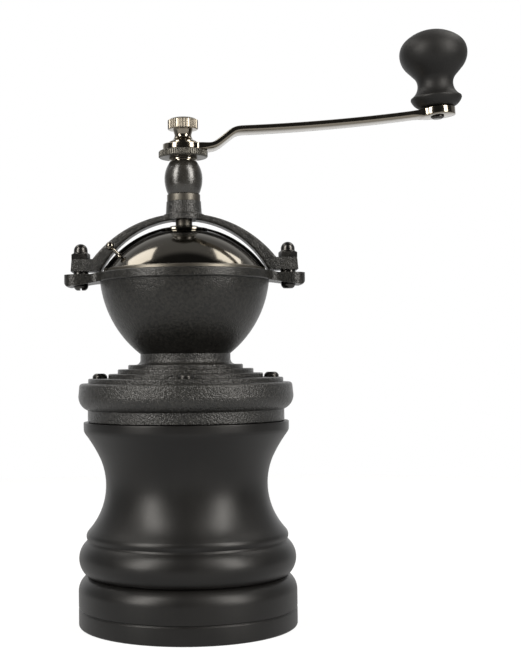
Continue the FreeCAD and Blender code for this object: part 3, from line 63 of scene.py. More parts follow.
def high(node):
    """Height of the node's highest point, in millimetres."""
    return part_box(node)[1].z / MM


# Sizes that both a finish and a shape need

RIM_TOP = high("hopper_bowl")
DOME_R, SKIRT_R, DOME_DROP = 36.5, 30.2, 19.15
DOME_Z = RIM_TOP - DOME_DROP
CROWN_FOOT_Z = DOME_Z + np.sqrt(DOME_R**2 - SKIRT_R**2)


# Lines and surfaces. An arc is cut about every ARC_STEP millimetres, and into ARC_FEWEST runs at least.

ARC_STEP, ARC_FEWEST = 0.3, 8
EDGE_STEPS = 4
BEND_STEP = 0.12
LONG_STEP, SHORT_STEP, BALL_STEP = 4.0, 0.8, 0.5
LARGE_SIDES, SMALL_SIDES, BALL_SIDES = 160, 96, 48
SHARP_ANGLE = 35.0


def path(start, *steps):
    """Points of a half section, as radius and height. A step (r, z) is a straight run to there. A step
    (r, z, radius, turn) is an arc that bends left (1) or right (-1) on its way there."""
    parts = [np.array([start], float)]
    for step in steps:
        here, there = parts[-1][-1], np.array(step[:2], float)
        if len(step) == 2:
            parts.append(there[None])
            continue
        radius, turn = step[2:]
        chord = there - here
        half = np.hypot(*chord) / 2
        across = np.array([-chord[1], chord[0]]) / (2 * half)
        centre = (here + there) / 2 + turn * across * np.sqrt(max(radius**2 - half**2, 0))
        first = np.arctan2(*(here - centre)[::-1])
        sweep = 2 * turn * np.arcsin(min(half / radius, 1))
        count = max(int(abs(sweep) * radius / ARC_STEP), ARC_FEWEST)
        angles = first + sweep * np.linspace(0, 1, count + 1)[1:]
        parts.append(centre + radius * np.stack([np.cos(angles), np.sin(angles)], axis=1))
    return np.vstack(parts)


def tangent_round(rise, run):
    """Radius of the arc that starts square to the run and has moved by run and rise at its end."""
    return (run**2 + rise**2) / (2 * run)


def distances(line):
    """How far along the line each of its points lies: the sum of the straight runs up to there."""
    return np.concatenate([[0], np.cumsum(np.hypot(*np.diff(line, axis=0).T))])


def points_at(places, along, line):
    """The line's points at those places, in between its own, which lie that far along."""
    return np.stack([np.interp(places, along, line[:, k]) for k in (0, 1)], axis=1)


def bell_weights(reach, spread):
    """Weights for the steps from -reach to reach, e to the power of minus half of step over spread
    squared, which add up to 1."""
    bell = np.exp(-0.5 * (np.arange(-reach, reach + 1) / spread) ** 2)
    return bell / bell.sum()


def blurred(line, weights, ends):
    """Each point as the weighted mean of its neighbours. Ends says how the line's ends are treated."""
    return np.stack([np.convolve(line[:, k], weights, ends) for k in (0, 1)], axis=1)


def worn(line, edge, closed=False, longest=LONG_STEP):
    """The line with its corners rounded off by about edge. It is walked in equal short steps, and each
    point becomes the bell-weighted mean of its neighbours. Then points are kept at equal steps of
    length over longest plus bend over BEND_STEP, so they stand closer together where the line bends."""
    line = np.vstack([line, line[:1]]) if closed else line
    along = distances(line)
    step = edge / EDGE_STEPS
    walk = np.linspace(0, along[-1], int(along[-1] / step) + 1)
    even = points_at(walk, along, line)
    reach = 3 * EDGE_STEPS
    bell = bell_weights(reach, EDGE_STEPS)
    if closed:
        wide = np.vstack([even[-reach - 1 : -1], even, even[1 : reach + 1]])
    else:
        over = np.array([-1, 1])
        wide = np.vstack([even[reach:0:-1] * over, even, even[-2 : -reach - 2 : -1] * over])
    soft = blurred(wide, bell, "valid")
    runs = np.diff(soft, axis=0)
    heading = np.unwrap(np.arctan2(runs[:, 1], runs[:, 0]))
    bend = np.abs(np.diff(heading, prepend=heading[0]))
    measure = np.concatenate([[0], np.cumsum(np.hypot(*runs.T) / longest + bend / BEND_STEP)])
    keep = np.linspace(0, measure[-1], int(measure[-1]) + 2)
    kept = points_at(keep, measure, soft)
    if closed:
        return kept[:-1]
    kept[[0, -1], 0] = 0.0
    return kept


def piece(name, surface, node_slot, body, *nodes, finish):
    """An object of that surface, which rides on the body and stands for the CAD nodes."""
    points, faces = surface
    mesh = bpy.data.meshes.new(name)
    mesh.from_pydata((np.asarray(points) * MM).tolist(), [], faces)
    mesh.shade_smooth()
    mesh.validate()
    obj = bpy.data.objects.new(name, mesh)
    bpy.context.scene.collection.objects.link(obj)
    mesh.materials.append(finish)
    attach(obj, body)
    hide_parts(*nodes)
    return obj


def crisp(obj):
    """Keeps the edges sharp that turn by more than SHARP_ANGLE degrees, and smooths the others."""
    obj.data.set_sharp_from_angle(angle=np.radians(SHARP_ANGLE))
    return obj


def net(rows, columns, wrap_rows=False):
    """Faces of a grid of points, row after row: the point in row i and column j has the number i times
    columns plus j. Each row is joined round, and the last row to the first where the rows wrap."""
    i = np.arange(rows if wrap_rows else rows - 1)[:, None]
    j = np.arange(columns)[None, :]
    k, m = (i + 1) % rows, (j + 1) % columns
    quads = np.stack([i * columns + j, i * columns + m, k * columns + m, k * columns + j], axis=-1)
    return quads.reshape(-1, 4).tolist()


def revolved(line, sides=LARGE_SIDES, closed=False, shape=None):
    """The line turned about Z: a point at radius r and angle a goes to (r cos a, r sin a, z). Shape may
    change the radius as a function of radius, angle and height. A line that isn't closed runs from the
    axis back to the axis, and ends in one point there. Returns points and faces."""
    ring = line if closed else line[1:-1]
    angles = np.arange(sides) * TURN / sides
    r, a = np.meshgrid(ring[:, 0], angles, indexing="ij")
    z = np.repeat(ring[:, 1:], sides, axis=1)
    if shape is not None:
        r = shape(r, a, z)
    points = np.stack([r * np.cos(a), r * np.sin(a), z], axis=-1).reshape(-1, 3)
    rows = len(ring)
    faces = net(rows, sides, wrap_rows=closed)
    if closed:
        return points, faces
    points = np.vstack([points, [[0, 0, line[0, 1]], [0, 0, line[-1, 1]]]])
    below, above, j = rows * sides, rows * sides + 1, np.arange(sides)
    m, last = (j + 1) % sides, (rows - 1) * sides
    faces += np.stack([m, j, np.full(sides, below)], axis=1).tolist()
    faces += np.stack([last + j, last + m, np.full(sides, above)], axis=1).tolist()
    return points, faces


def moved(surface, place):
    """The surface with each point taken through the 4 by 4 matrix, in millimetres."""
    points, faces = surface
    matrix = np.array(place)
    return points @ matrix[:3, :3].T + matrix[:3, 3], faces


def lifted(surface, z):
    """The surface with z millimetres added to each height."""
    return moved(surface, Matrix.Translation((0, 0, z)))


def joined(*surfaces):
    """One surface of several."""
    points, faces, count = [], [], 0
    for some, theirs in surfaces:
        points.append(some)
        faces += [[corner + count for corner in face] for face in theirs]
        count += len(some)
    return np.vstack(points), faces


def grooved(count, deep, first, last, from_r):
    """A radius function for straight knurling: V grooves over half of each tooth's pitch, that deep,
    between the heights first and last, where the radius is over from_r."""
    groove_share = 0.5

    def shape(r, a, z):
        """The radius less the cut, which falls evenly from deep at a groove's middle to 0 at its
        edges."""
        tooth = np.abs((a * count / TURN) % 1.0 - 0.5) * 2
        cut = deep * np.clip(1 - tooth / groove_share, 0, 1)
        ends = np.clip((z - first) / deep, 0, 1) * np.clip((last - z) / deep, 0, 1)
        return r - cut * ends * (r > from_r)

    return shape


# Finishes


def finish(name, **sockets):
    """A material with one Principled shader that has these constant values. Returns it, its nodes and
    its shader."""
    made = bpy.data.materials.new(name)
    made.use_nodes = True
    shader = made.node_tree.nodes["Principled BSDF"]
    for socket, value in sockets.items():
        shader.inputs[socket.replace("_", " ")].default_value = value
    return made, made.node_tree, shader


def add(tree, kind, values=None, **settings):
    """A new node with these settings and input values. A value that is a socket is linked."""
    node = tree.nodes.new(kind)
    for setting, value in settings.items():
        setattr(node, setting, value)
    for socket, value in (values or {}).items():
        if isinstance(value, bpy.types.NodeSocket):
            tree.links.new(value, node.inputs[socket])
        else:
            node.inputs[socket].default_value = value
    return node


def place_on(tree, stretch=(1, 1, 1)):
    """The object's own coordinates in metres, scaled by stretch."""
    where = add(tree, "ShaderNodeTexCoord").outputs["Object"]
    return add(tree, "ShaderNodeMapping", {"Vector": where, "Scale": stretch}).outputs["Vector"]


def noise(tree, size_mm, where, detail=3.0, roughness=0.5):
    """Smooth random values from 0 to 1, with blotches of about that size."""
    values = {"Vector": where, "Scale": 1 / (size_mm * MM), "Detail": detail, "Roughness": roughness}
    return add(tree, "ShaderNodeTexNoise", values).outputs["Fac"]


def between(tree, share, first, last, start=0.3, end=0.7):
    """Goes from first to last as share goes from start to end."""
    values = {"Value": share, "From Min": start, "From Max": end, "To Min": first, "To Max": last}
    return add(tree, "ShaderNodeMapRange", values).outputs["Result"]


def larger(tree, first, second):
    """The larger of two values."""
    return add(tree, "ShaderNodeMath", {0: first, 1: second}, operation="MAXIMUM").outputs[0]


def blend_colours(tree, share, first, second):
    """The first colour where share is 0, the second where it is 1, and evenly in between."""
    values = {"Factor": share, "A": (*first, 1), "B": (*second, 1)}
    mix = add(tree, "ShaderNodeMix", data_type="RGBA")
    for socket, value in values.items():
        at = [s for s in mix.inputs if s.name == socket and s.type in ("RGBA", "VALUE")]
        at = at[0] if socket == "Factor" else at[-1]
        if isinstance(value, bpy.types.NodeSocket):
            tree.links.new(value, at)
        else:
            at.default_value = value
    return [s for s in mix.outputs if s.type == "RGBA"][0]


def relief(tree, shader, *layers):
    """Bumps on the surface: each layer is a height from 0 to 1 and its depth in millimetres."""
    normal = None
    for height, depth in layers:
        values = {"Height": height, "Distance": depth * MM, "Strength": 1.0}
        if normal is not None:
            values["Normal"] = normal
        normal = add(tree, "ShaderNodeBump", values).outputs["Normal"]
    tree.links.new(normal, shader.inputs["Normal"])


def lacquered_wood(name, smooth, dull, pore_depth):
    """Satin black lacquer that has sunk a little into an upright grain. The pores are noise drawn out
    along Z, and wide clouds blend the colour, and the roughness from smooth to dull."""
    shine, pore_size, pore_stretch, pore_detail = 0.36, 0.5, (1, 1, 0.03), 4
    cloud_size, cloud_stretch = 14, (1, 1, 0.5)
    darkest, palest = (0.0045, 0.0043, 0.0041), (0.008, 0.0075, 0.007)
    made, tree, shader = finish(name, Specular_IOR_Level=shine)
    pores = noise(tree, pore_size, place_on(tree, pore_stretch), pore_detail)
    clouds = noise(tree, cloud_size, place_on(tree, cloud_stretch))
    colour = blend_colours(tree, between(tree, clouds, 0, 1), darkest, palest)
    tree.links.new(colour, shader.inputs["Base Color"])
    tree.links.new(between(tree, clouds, smooth, dull), shader.inputs["Roughness"])
    relief(tree, shader, (pores, pore_depth))
    return made


def sand_cast_iron(name, coarse, shine):
    """Dark coated iron with the grain of the sand mould, which catches the light in small facets.
    Coarse is the depth of the grain in millimetres, shine the specular level."""
    grain_size, sand_size, lump_size, lump_deep = 1.0, 0.5, 5.0, 0.06
    detail, grain_roughness, sand_share = 2, 0.65, 0.5
    darkest, palest, smooth, dull = (0.004, 0.004, 0.0036), (0.019, 0.0182, 0.0158), 0.28, 0.4
    made, tree, shader = finish(name, Specular_IOR_Level=shine)
    where = place_on(tree)
    grain = noise(tree, grain_size, where, detail, grain_roughness)
    sand = noise(tree, sand_size, where, detail)
    lumps = noise(tree, lump_size, where, detail)
    share = between(tree, grain, 0, 1, 0.35, 0.65)
    colour = blend_colours(tree, share, darkest, palest)
    tree.links.new(colour, shader.inputs["Base Color"])
    tree.links.new(between(tree, sand, smooth, dull), shader.inputs["Roughness"])
    relief(tree, shader, (lumps, lump_deep), (grain, coarse), (sand, coarse * sand_share))
    return made


def black_nickel(foot_z):
    """Polished black nickel plate under a faint haze, brushed dull below the height foot_z. There the
    roughness falls from brushed to none over the height fade, and the larger of it and the haze's
    counts."""
    haze_size, smooth, dull, brushed, fade = 9, 0.08, 0.13, 0.4, 0.1
    darkest, palest = (0.15, 0.138, 0.118), (0.18, 0.166, 0.14)
    made, tree, shader = finish("black_nickel", Metallic=1.0)
    haze = noise(tree, haze_size, place_on(tree))
    colour = blend_colours(tree, haze, darkest, palest)
    tree.links.new(colour, shader.inputs["Base Color"])
    height = add(tree, "ShaderNodeSeparateXYZ", {0: place_on(tree)}).outputs["Z"]
    foot = between(tree, height, brushed, 0.0, foot_z * MM, (foot_z + fade) * MM)
    clear = between(tree, haze, smooth, dull)
    tree.links.new(larger(tree, foot, clear), shader.inputs["Roughness"])
    return made


def soft_nickel(name, tone, smooth, dull):
    """A soft metal shine: faint cloudy wear down to a darker tone, and hair-fine scratches along X."""
    cloud_size, darker = 3, 0.86
    hair_size, hair_stretch, hair_detail, hair_deep = 0.25, (0.1, 1, 1), 2, 0.004
    made, tree, shader = finish(name, Metallic=1.0)
    clouds = noise(tree, cloud_size, place_on(tree))
    hairs = noise(tree, hair_size, place_on(tree, hair_stretch), hair_detail)
    dark = tuple(darker * c for c in tone)
    tree.links.new(blend_colours(tree, clouds, dark, tone), shader.inputs["Base Color"])
    tree.links.new(between(tree, clouds, smooth, dull), shader.inputs["Roughness"])
    relief(tree, shader, (hairs, hair_deep))
    return made


def turned_enamel():
    """Semi-gloss black over faint rings left by the lathe, which are noise drawn out across Z."""
    shine, cloud_size, cloud_deep = 0.9, 3, 0.1
    ring_size, ring_stretch, ring_detail, ring_deep = 0.35, (0.02, 0.02, 1), 2, 0.06
    darkest, palest, smooth, dull = (0.012, 0.011, 0.0095), (0.026, 0.024, 0.02), 0.2, 0.34
    made, tree, shader = finish("turned_enamel", Specular_IOR_Level=shine)
    rings = noise(tree, ring_size, place_on(tree, ring_stretch), ring_detail)
    clouds = noise(tree, cloud_size, place_on(tree))
    colour = blend_colours(tree, clouds, darkest, palest)
    tree.links.new(colour, shader.inputs["Base Color"])
    tree.links.new(between(tree, clouds, smooth, dull), shader.inputs["Roughness"])
    relief(tree, shader, (clouds, cloud_deep), (rings, ring_deep))
    return made


WOOD = lacquered_wood("lacquered_wood", 0.35, 0.42, 0.012)
KNOB_WOOD = lacquered_wood("worn_knob_wood", 0.46, 0.58, 0.05)
IRON = sand_cast_iron("sand_cast_iron", 0.27, 0.6)
BOWL_IRON = sand_cast_iron("bowl_iron", 0.14, 0.45)
POLISHED = black_nickel(CROWN_FOOT_Z)
NICKEL = soft_nickel("soft_nickel", (0.28, 0.252, 0.207), 0.1, 0.17)
BLACKENED = soft_nickel("blackened_steel", (0.07, 0.068, 0.065), 0.22, 0.34)
KNURLED = soft_nickel("knurled_steel", (0.11, 0.105, 0.092), 0.3, 0.42)
STEEL = soft_nickel("turned_steel", (0.12, 0.112, 0.097), 0.4, 0.5)
BURR_STEEL = soft_nickel("burr_steel", (0.3, 0.3, 0.3), 0.35, 0.5)
BRONZE = soft_nickel("bearing_bronze", (0.5, 0.32, 0.13), 0.25, 0.4)
ENAMEL = turned_enamel()

SLOT_FINISH = {
    "black_wood": WOOD,
    "cast_iron": IRON,
    "black_enamel": ENAMEL,
    "black_nickel": POLISHED,
    "nickel": NICKEL,
    "dark_steel": BLACKENED,
    "steel": STEEL,
    "burr_steel": BURR_STEEL,
    "bronze": BRONZE,
}
NODE_FINISH = {"hopper_bowl": BOWL_IRON, "dome_ferrule": BLACKENED, "knob_pin": BLACKENED}
for part in frame["record"]["subparts"]:
    for slot in frame["nodes"][part["node"]].material_slots:
        slot.material = NODE_FINISH.get(part["node"], SLOT_FINISH[part["material_slot"]])


# Turned wood: cup, housing and knob

BASE_R = 40.5
CUP_ROUND = 6.3
CUP_ROUND_Z = 13.0
PARTING_Z = low("wood_housing")
PARTING_BEVEL = 0.6
PARTING_RISE = PARTING_Z - PARTING_BEVEL - CUP_ROUND_Z
PARTING_R = BASE_R - CUP_ROUND + np.sqrt(CUP_ROUND**2 - PARTING_RISE**2)
SOCKET_R, SOCKET_DEEP, SPIGOT_PLAY = 34.0, 12.0, 0.08
SOCKET_TOP = PARTING_Z + SOCKET_DEEP
WOOD_EDGE, KNOB_EDGE = 0.16, 0.12


def cup_line():
    """Foot, incised line, side, rounded shoulder, the groove's lower half, spigot and bore."""
    foot, line_z, line_half, line_deep = 0.9, 6.9, 0.4, 0.45
    spigot_r, spigot_z, bevel = SOCKET_R - SPIGOT_PLAY, high("grounds_cup"), 0.8
    bore, floor, floor_round = 30.3, 4.2, 5.0
    return path(
        (0, 0),
        (BASE_R - foot, 0),
        (BASE_R, foot, foot, 1),
        (BASE_R, line_z - line_half),
        (BASE_R - line_deep, line_z),
        (BASE_R, line_z + line_half),
        (BASE_R, CUP_ROUND_Z),
        (PARTING_R, PARTING_Z - PARTING_BEVEL, CUP_ROUND, 1),
        (PARTING_R - 2 * PARTING_BEVEL, PARTING_Z),
        (spigot_r, PARTING_Z),
        (spigot_r, spigot_z - bevel),
        (spigot_r - bevel, spigot_z),
        (bore, spigot_z),
        (bore, floor + floor_round),
        (bore - floor_round, floor, floor_round, -1),
        (0, floor),
    )


def housing_line():
    """Groove, bead, notch, lip, the hollow waist, the land under the iron, and the bore."""
    bead_r, bead_z, bead_round, bead_end_z = 40.25, 24.9, 7.9, 30.9
    bead_end_r = bead_r - bead_round + np.sqrt(bead_round**2 - (bead_end_z - bead_z) ** 2)
    notch, lip, lip_round, waist_low = (37.05, 31.7), (36.9, 34.65), 2.6, (35.75, 36.0)
    waist, flare, flare_round, waist_top = (30.05, 51.9), (33.2, 63.9), 50.0, (37.6, 70.85)
    land_r, land_z, land_round, seam, seam_deep = 38.15, 72.6, 3.0, 0.4, 2.6
    top, well = high("wood_housing"), 24.5
    return path(
        (SOCKET_R, PARTING_Z),
        (PARTING_R - 2 * PARTING_BEVEL, PARTING_Z),
        (PARTING_R, PARTING_Z + PARTING_BEVEL),
        (bead_end_r, bead_end_z, bead_round, 1),
        notch,
        (*lip, lip_round, 1),
        waist_low,
        (*waist, tangent_round(waist[1] - waist_low[1], waist_low[0] - waist[0]), -1),
        (*flare, tangent_round(flare[1] - waist[1], flare[0] - waist[0]), -1),
        (*waist_top, flare_round, -1),
        (land_r, land_z, land_round, 1),
        (land_r, top - seam),
        (land_r - seam_deep, top - seam),
        (land_r - seam_deep, top),
        (well, top),
        (well, SOCKET_TOP),
        (SOCKET_R, SOCKET_TOP),
    )


ARM_END = Vector((95.4, 0, 189.55))
ARM_END_SLOPE = np.radians(3.0)
ARM_END_T = 2.9
KNOB_GAP = 0.15


def on_arm_end(out):
    """The place on the knob's leaning axis that far out from the middle of the arm's end."""
    lean = Matrix.Rotation(-ARM_END_SLOPE, 4, "Y")
    return Matrix.Translation(ARM_END) @ lean @ Matrix.Translation((0, 0, out))


def knob_line():
    """Rounded skirt, step, hollow neck, straight flank, swelling head, crown, and the well round the
    pin's head."""
    foot_r, skirt_r, skirt_h, skirt_round, step_in, step_up = 5.9, 9.5, 3.4, 5.0, 0.15, 0.6
    cove_r, cove_h = skirt_r - step_in, skirt_h + step_up
    neck_r, neck_h, neck_round, flank = 6.6, 8.8, 4.6, np.radians(43.0)
    head_r, head_h, crown_round, height = 12.6, 20.4, 15.8, 29.4
    bore, well_r, well_h = 2.06, 4.4, 25.2
    sine, cosine = np.sin(flank), np.cos(flank)
    neck_end_r, neck_end_h = neck_r + neck_round * (1 - cosine), neck_h + neck_round * sine
    head_round = ((head_h - neck_end_h) * sine - (head_r - neck_end_r) * cosine) / (1 - cosine)
    centre = height - crown_round
    drop = head_h - centre
    corner = (crown_round**2 - head_r**2 - drop**2) / (2 * (crown_round - head_r))
    span = crown_round - corner
    crown = (crown_round * (head_r - corner) / span, centre + crown_round * drop / span)
    return path(
        (bore, 0),
        (foot_r, 0),
        (skirt_r, skirt_h, skirt_round, 1),
        (cove_r, cove_h),
        (neck_r, neck_h, tangent_round(neck_h - cove_h, cove_r - neck_r), -1),
        (neck_end_r, neck_end_h, neck_round, -1),
        (head_r - head_round * (1 - cosine), head_h - head_round * sine),
        (head_r, head_h, head_round, 1),
        (*crown, corner, 1),
        (well_r, centre + np.sqrt(crown_round**2 - well_r**2), crown_round, 1),
        (well_r, well_h),
        (bore, well_h),
    )


piece("cup_wood", revolved(worn(cup_line(), WOOD_EDGE)), "black_wood", "cup", "grounds_cup", finish=WOOD)
piece(
    "housing_wood", revolved(worn(housing_line(), WOOD_EDGE, closed=True), closed=True), "black_wood",
    "housing", "wood_housing", finish=WOOD,
)
piece(
    "knob_wood",
    moved(
        revolved(worn(knob_line(), KNOB_EDGE, closed=True), SMALL_SIDES, closed=True),
        on_arm_end(ARM_END_T / 2 + KNOB_GAP),
    ),
    "black_wood", "handle", "knob", finish=KNOB_WOOD,
)


# Turned pieces on the shaft

SHAFT_BORE = 3.15
NECK_BORE = 3.05
SOFT_EDGE, THUMB_EDGE, FINE_EDGE = 0.12, 0.08, 0.06


def bush_line():
    """The sleeve in the boss and its flange on top."""
    sleeve_r, flange_r, flange_t = 4.55, 6.2, 2.65
    top = high("upper_bush")
    under = top - flange_t
    return path(
        (SHAFT_BORE, low("upper_bush")), (sleeve_r, low("upper_bush")), (sleeve_r, under),
        (flange_r, under), (flange_r, top), (SHAFT_BORE, top),
    )


def barrel_line():
    """A barrel whose fullest ring is a little under half its height."""
    low_r, mid_r, top_r, mid_h, height = 5.75, 7.12, 4.95, 5.95, 12.45
    return path(
        (NECK_BORE, 0), (low_r, 0), (mid_r, mid_h, tangent_round(mid_h, mid_r - low_r), 1),
        (top_r, height, tangent_round(height - mid_h, mid_r - top_r), 1), (NECK_BORE, height),
    )


def collar_line():
    """A ring that stands on a narrower foot."""
    outer, foot, foot_h, height = 5.25, 4.4, 0.4, 1.3
    return path(
        (NECK_BORE, 0), (foot, 0), (foot, foot_h), (outer, foot_h), (outer, height),
        (NECK_BORE, height),
    )


DISC_R, DISC_T, DISC_BEVEL, DISC_TEETH, DISC_SIDES = 9.2, 2.65, 0.4, 72, 72 * 8
KNURL_DEEP, KNURL_MARGIN = 0.3, 0.1


def disc_line():
    """A flat disc, bevelled at both outer edges."""
    return path(
        (NECK_BORE, 0), (DISC_R - DISC_BEVEL, 0), (DISC_R, DISC_BEVEL), (DISC_R, DISC_T - DISC_BEVEL),
        (DISC_R - DISC_BEVEL, DISC_T), (NECK_BORE, DISC_T),
    )


THUMB_HEAD_LOW, THUMB_HEAD_TOP = 5.45, 8.95
THUMB_TEETH, THUMB_SIDES, THUMB_KNURL_R, THUMB_KNURL_OVER = 32, 32 * 10, 5.0, 0.2


def thumb_line():
    """Foot, hollow neck, knurled head with its chamfer, and the blind bore."""
    foot_r, foot_h, neck_r, neck_h, neck_top_r = 5.2, 0.9, 3.15, 3.5, 3.75
    head_r, top_r, height, bevel = 5.68, 4.5, high("thumb_nut") - low("thumb_nut"), 0.3
    bore, bore_h = 2.0, 8.05
    return path(
        (0, bore_h), (bore, bore_h), (bore, 0), (foot_r, 0), (foot_r, foot_h),
        (neck_r, neck_h, tangent_round(neck_h - foot_h, foot_r - neck_r), -1),
        (neck_top_r, THUMB_HEAD_LOW), (head_r - bevel, THUMB_HEAD_LOW), (head_r, THUMB_HEAD_LOW + bevel),
        (head_r, THUMB_HEAD_TOP), (top_r, height), (0, height),
    )


piece(
    "bush_ring", revolved(worn(bush_line(), SOFT_EDGE, closed=True), SMALL_SIDES, closed=True),
    "steel", "housing", "upper_bush", finish=STEEL,
)
piece(
    "barrel",
    lifted(
        revolved(worn(barrel_line(), SOFT_EDGE, closed=True), SMALL_SIDES, closed=True),
        low("ball_spacer"),
    ),
    "black_enamel", "crank", "ball_spacer", finish=ENAMEL,
)
piece(
    "collar",
    lifted(
        revolved(worn(collar_line(), FINE_EDGE, closed=True), SMALL_SIDES, closed=True),
        low("spacer_collar"),
    ),
    "nickel", "crank", "spacer_collar", finish=NICKEL,
)
piece(
    "knurled_disc",
    lifted(
        revolved(
            worn(disc_line(), FINE_EDGE, closed=True, longest=SHORT_STEP), DISC_SIDES, closed=True,
            shape=grooved(DISC_TEETH, KNURL_DEEP, 0.0, DISC_T, DISC_R - DISC_BEVEL - KNURL_MARGIN),
        ),
        low("adjusting_nut"),
    ),
    "dark_steel", "adjuster", "adjusting_nut", finish=KNURLED,
)
piece(
    "thumb_head",
    lifted(
        revolved(
            worn(thumb_line(), THUMB_EDGE, longest=SHORT_STEP), THUMB_SIDES,
            shape=grooved(
                THUMB_TEETH, KNURL_DEEP, THUMB_HEAD_LOW, THUMB_HEAD_TOP + THUMB_KNURL_OVER, THUMB_KNURL_R
            ),
        ),
        low("thumb_nut"),
    ),
    "nickel", "thumb", "thumb_nut", finish=NICKEL,
)


# Domed hexagon nuts on the yoke's feet

EAR_X = 38.7
NUT_FLATS, NUT_HEX_H, NUT_DOME_R = 6.2, 2.4, 2.6
NUT_TURN = 15.0
NUT_HEX_MARGIN = 0.05


def nut_line():
    """Hexagon's bottom and outer corner with its chamfer, cove, and the dome with its blind bore."""
    corner, height = NUT_FLATS / np.sqrt(3), high("cap_nuts") - low("cap_nuts")
    bore, bore_h, chamfer, chamfer_run, cove, cove_low = 1.85, 4.8, 0.35, 1.6, 0.4, 0.2
    return path(
        (0, bore_h), (bore, bore_h), (bore, 0), (corner, 0), (corner, NUT_HEX_H - chamfer),
        (corner - chamfer_run * chamfer, NUT_HEX_H), (NUT_DOME_R + cove, NUT_HEX_H - cove_low),
        (NUT_DOME_R, NUT_HEX_H + cove), (NUT_DOME_R, height - NUT_DOME_R),
        (0, height, NUT_DOME_R, 1),
    )


def hexagonal(r, a, z):
    """Keeps the radius inside a hexagon with flats across Y: at angle a the flat is half the width
    over the flats away, divided by the cosine of the angle from the flat's middle."""
    flat = NUT_FLATS / 2 / np.cos((a % (TURN / 6)) - TURN / 12)
    return np.where(z < NUT_HEX_H + NUT_HEX_MARGIN, np.minimum(r, flat), r)


def nut(x, turn):
    """One nut on the yoke's foot at that X, turned by that many degrees."""
    place = Matrix.Translation((x, 0, low("cap_nuts"))) @ Matrix.Rotation(np.radians(turn), 4, "Z")
    line = worn(nut_line(), FINE_EDGE, longest=SHORT_STEP)
    return moved(revolved(line, SMALL_SIDES, shape=hexagonal), place)


crisp(piece(
    "domed_nuts", joined(nut(EAR_X, -NUT_TURN), nut(-EAR_X, NUT_TURN)), "dark_steel", "housing",
    "cap_nuts", finish=BLACKENED,
))


# Crank arm: a rounded flat section carried along a bent line. The line is walked in ARM_WALK points, and
# blurred over the bends between ARM_BEND_FROM and ARM_BEND_TO millimetres; reach and blur count points.

ARM_W, ARM_END_W, ARM_T, ARM_EYE_R, ARM_END_R = 10.2, 8.4, 2.4, 7.6, 6.7
ARM_LOW_X, ARM_HIGH_X, ARM_RISE, ARM_END_RISE, ARM_BOW = 11.7, 19.6, 6.2, 12.3, 720.0
ARM_MID_Z = low("crank_arm") + ARM_T / 2
ARM_EYE_EDGE, ARM_BAR_EDGE, ARM_EDGE_SHARE, ARM_EDGE_RUN = 0.35, 1.0, 0.9, 3
ARM_WALK, ARM_BLUR_REACH, ARM_BLUR, ARM_BEND_FROM, ARM_BEND_TO = 2400, 90, 32, 5, 60
ARM_TIP_STATIONS, ARM_STATION_STEP, ARM_LEAST_HALF, ARM_STEP_RUN = 28, 0.8, 0.02, 0.5
ARM_CORNER_POINTS = 5


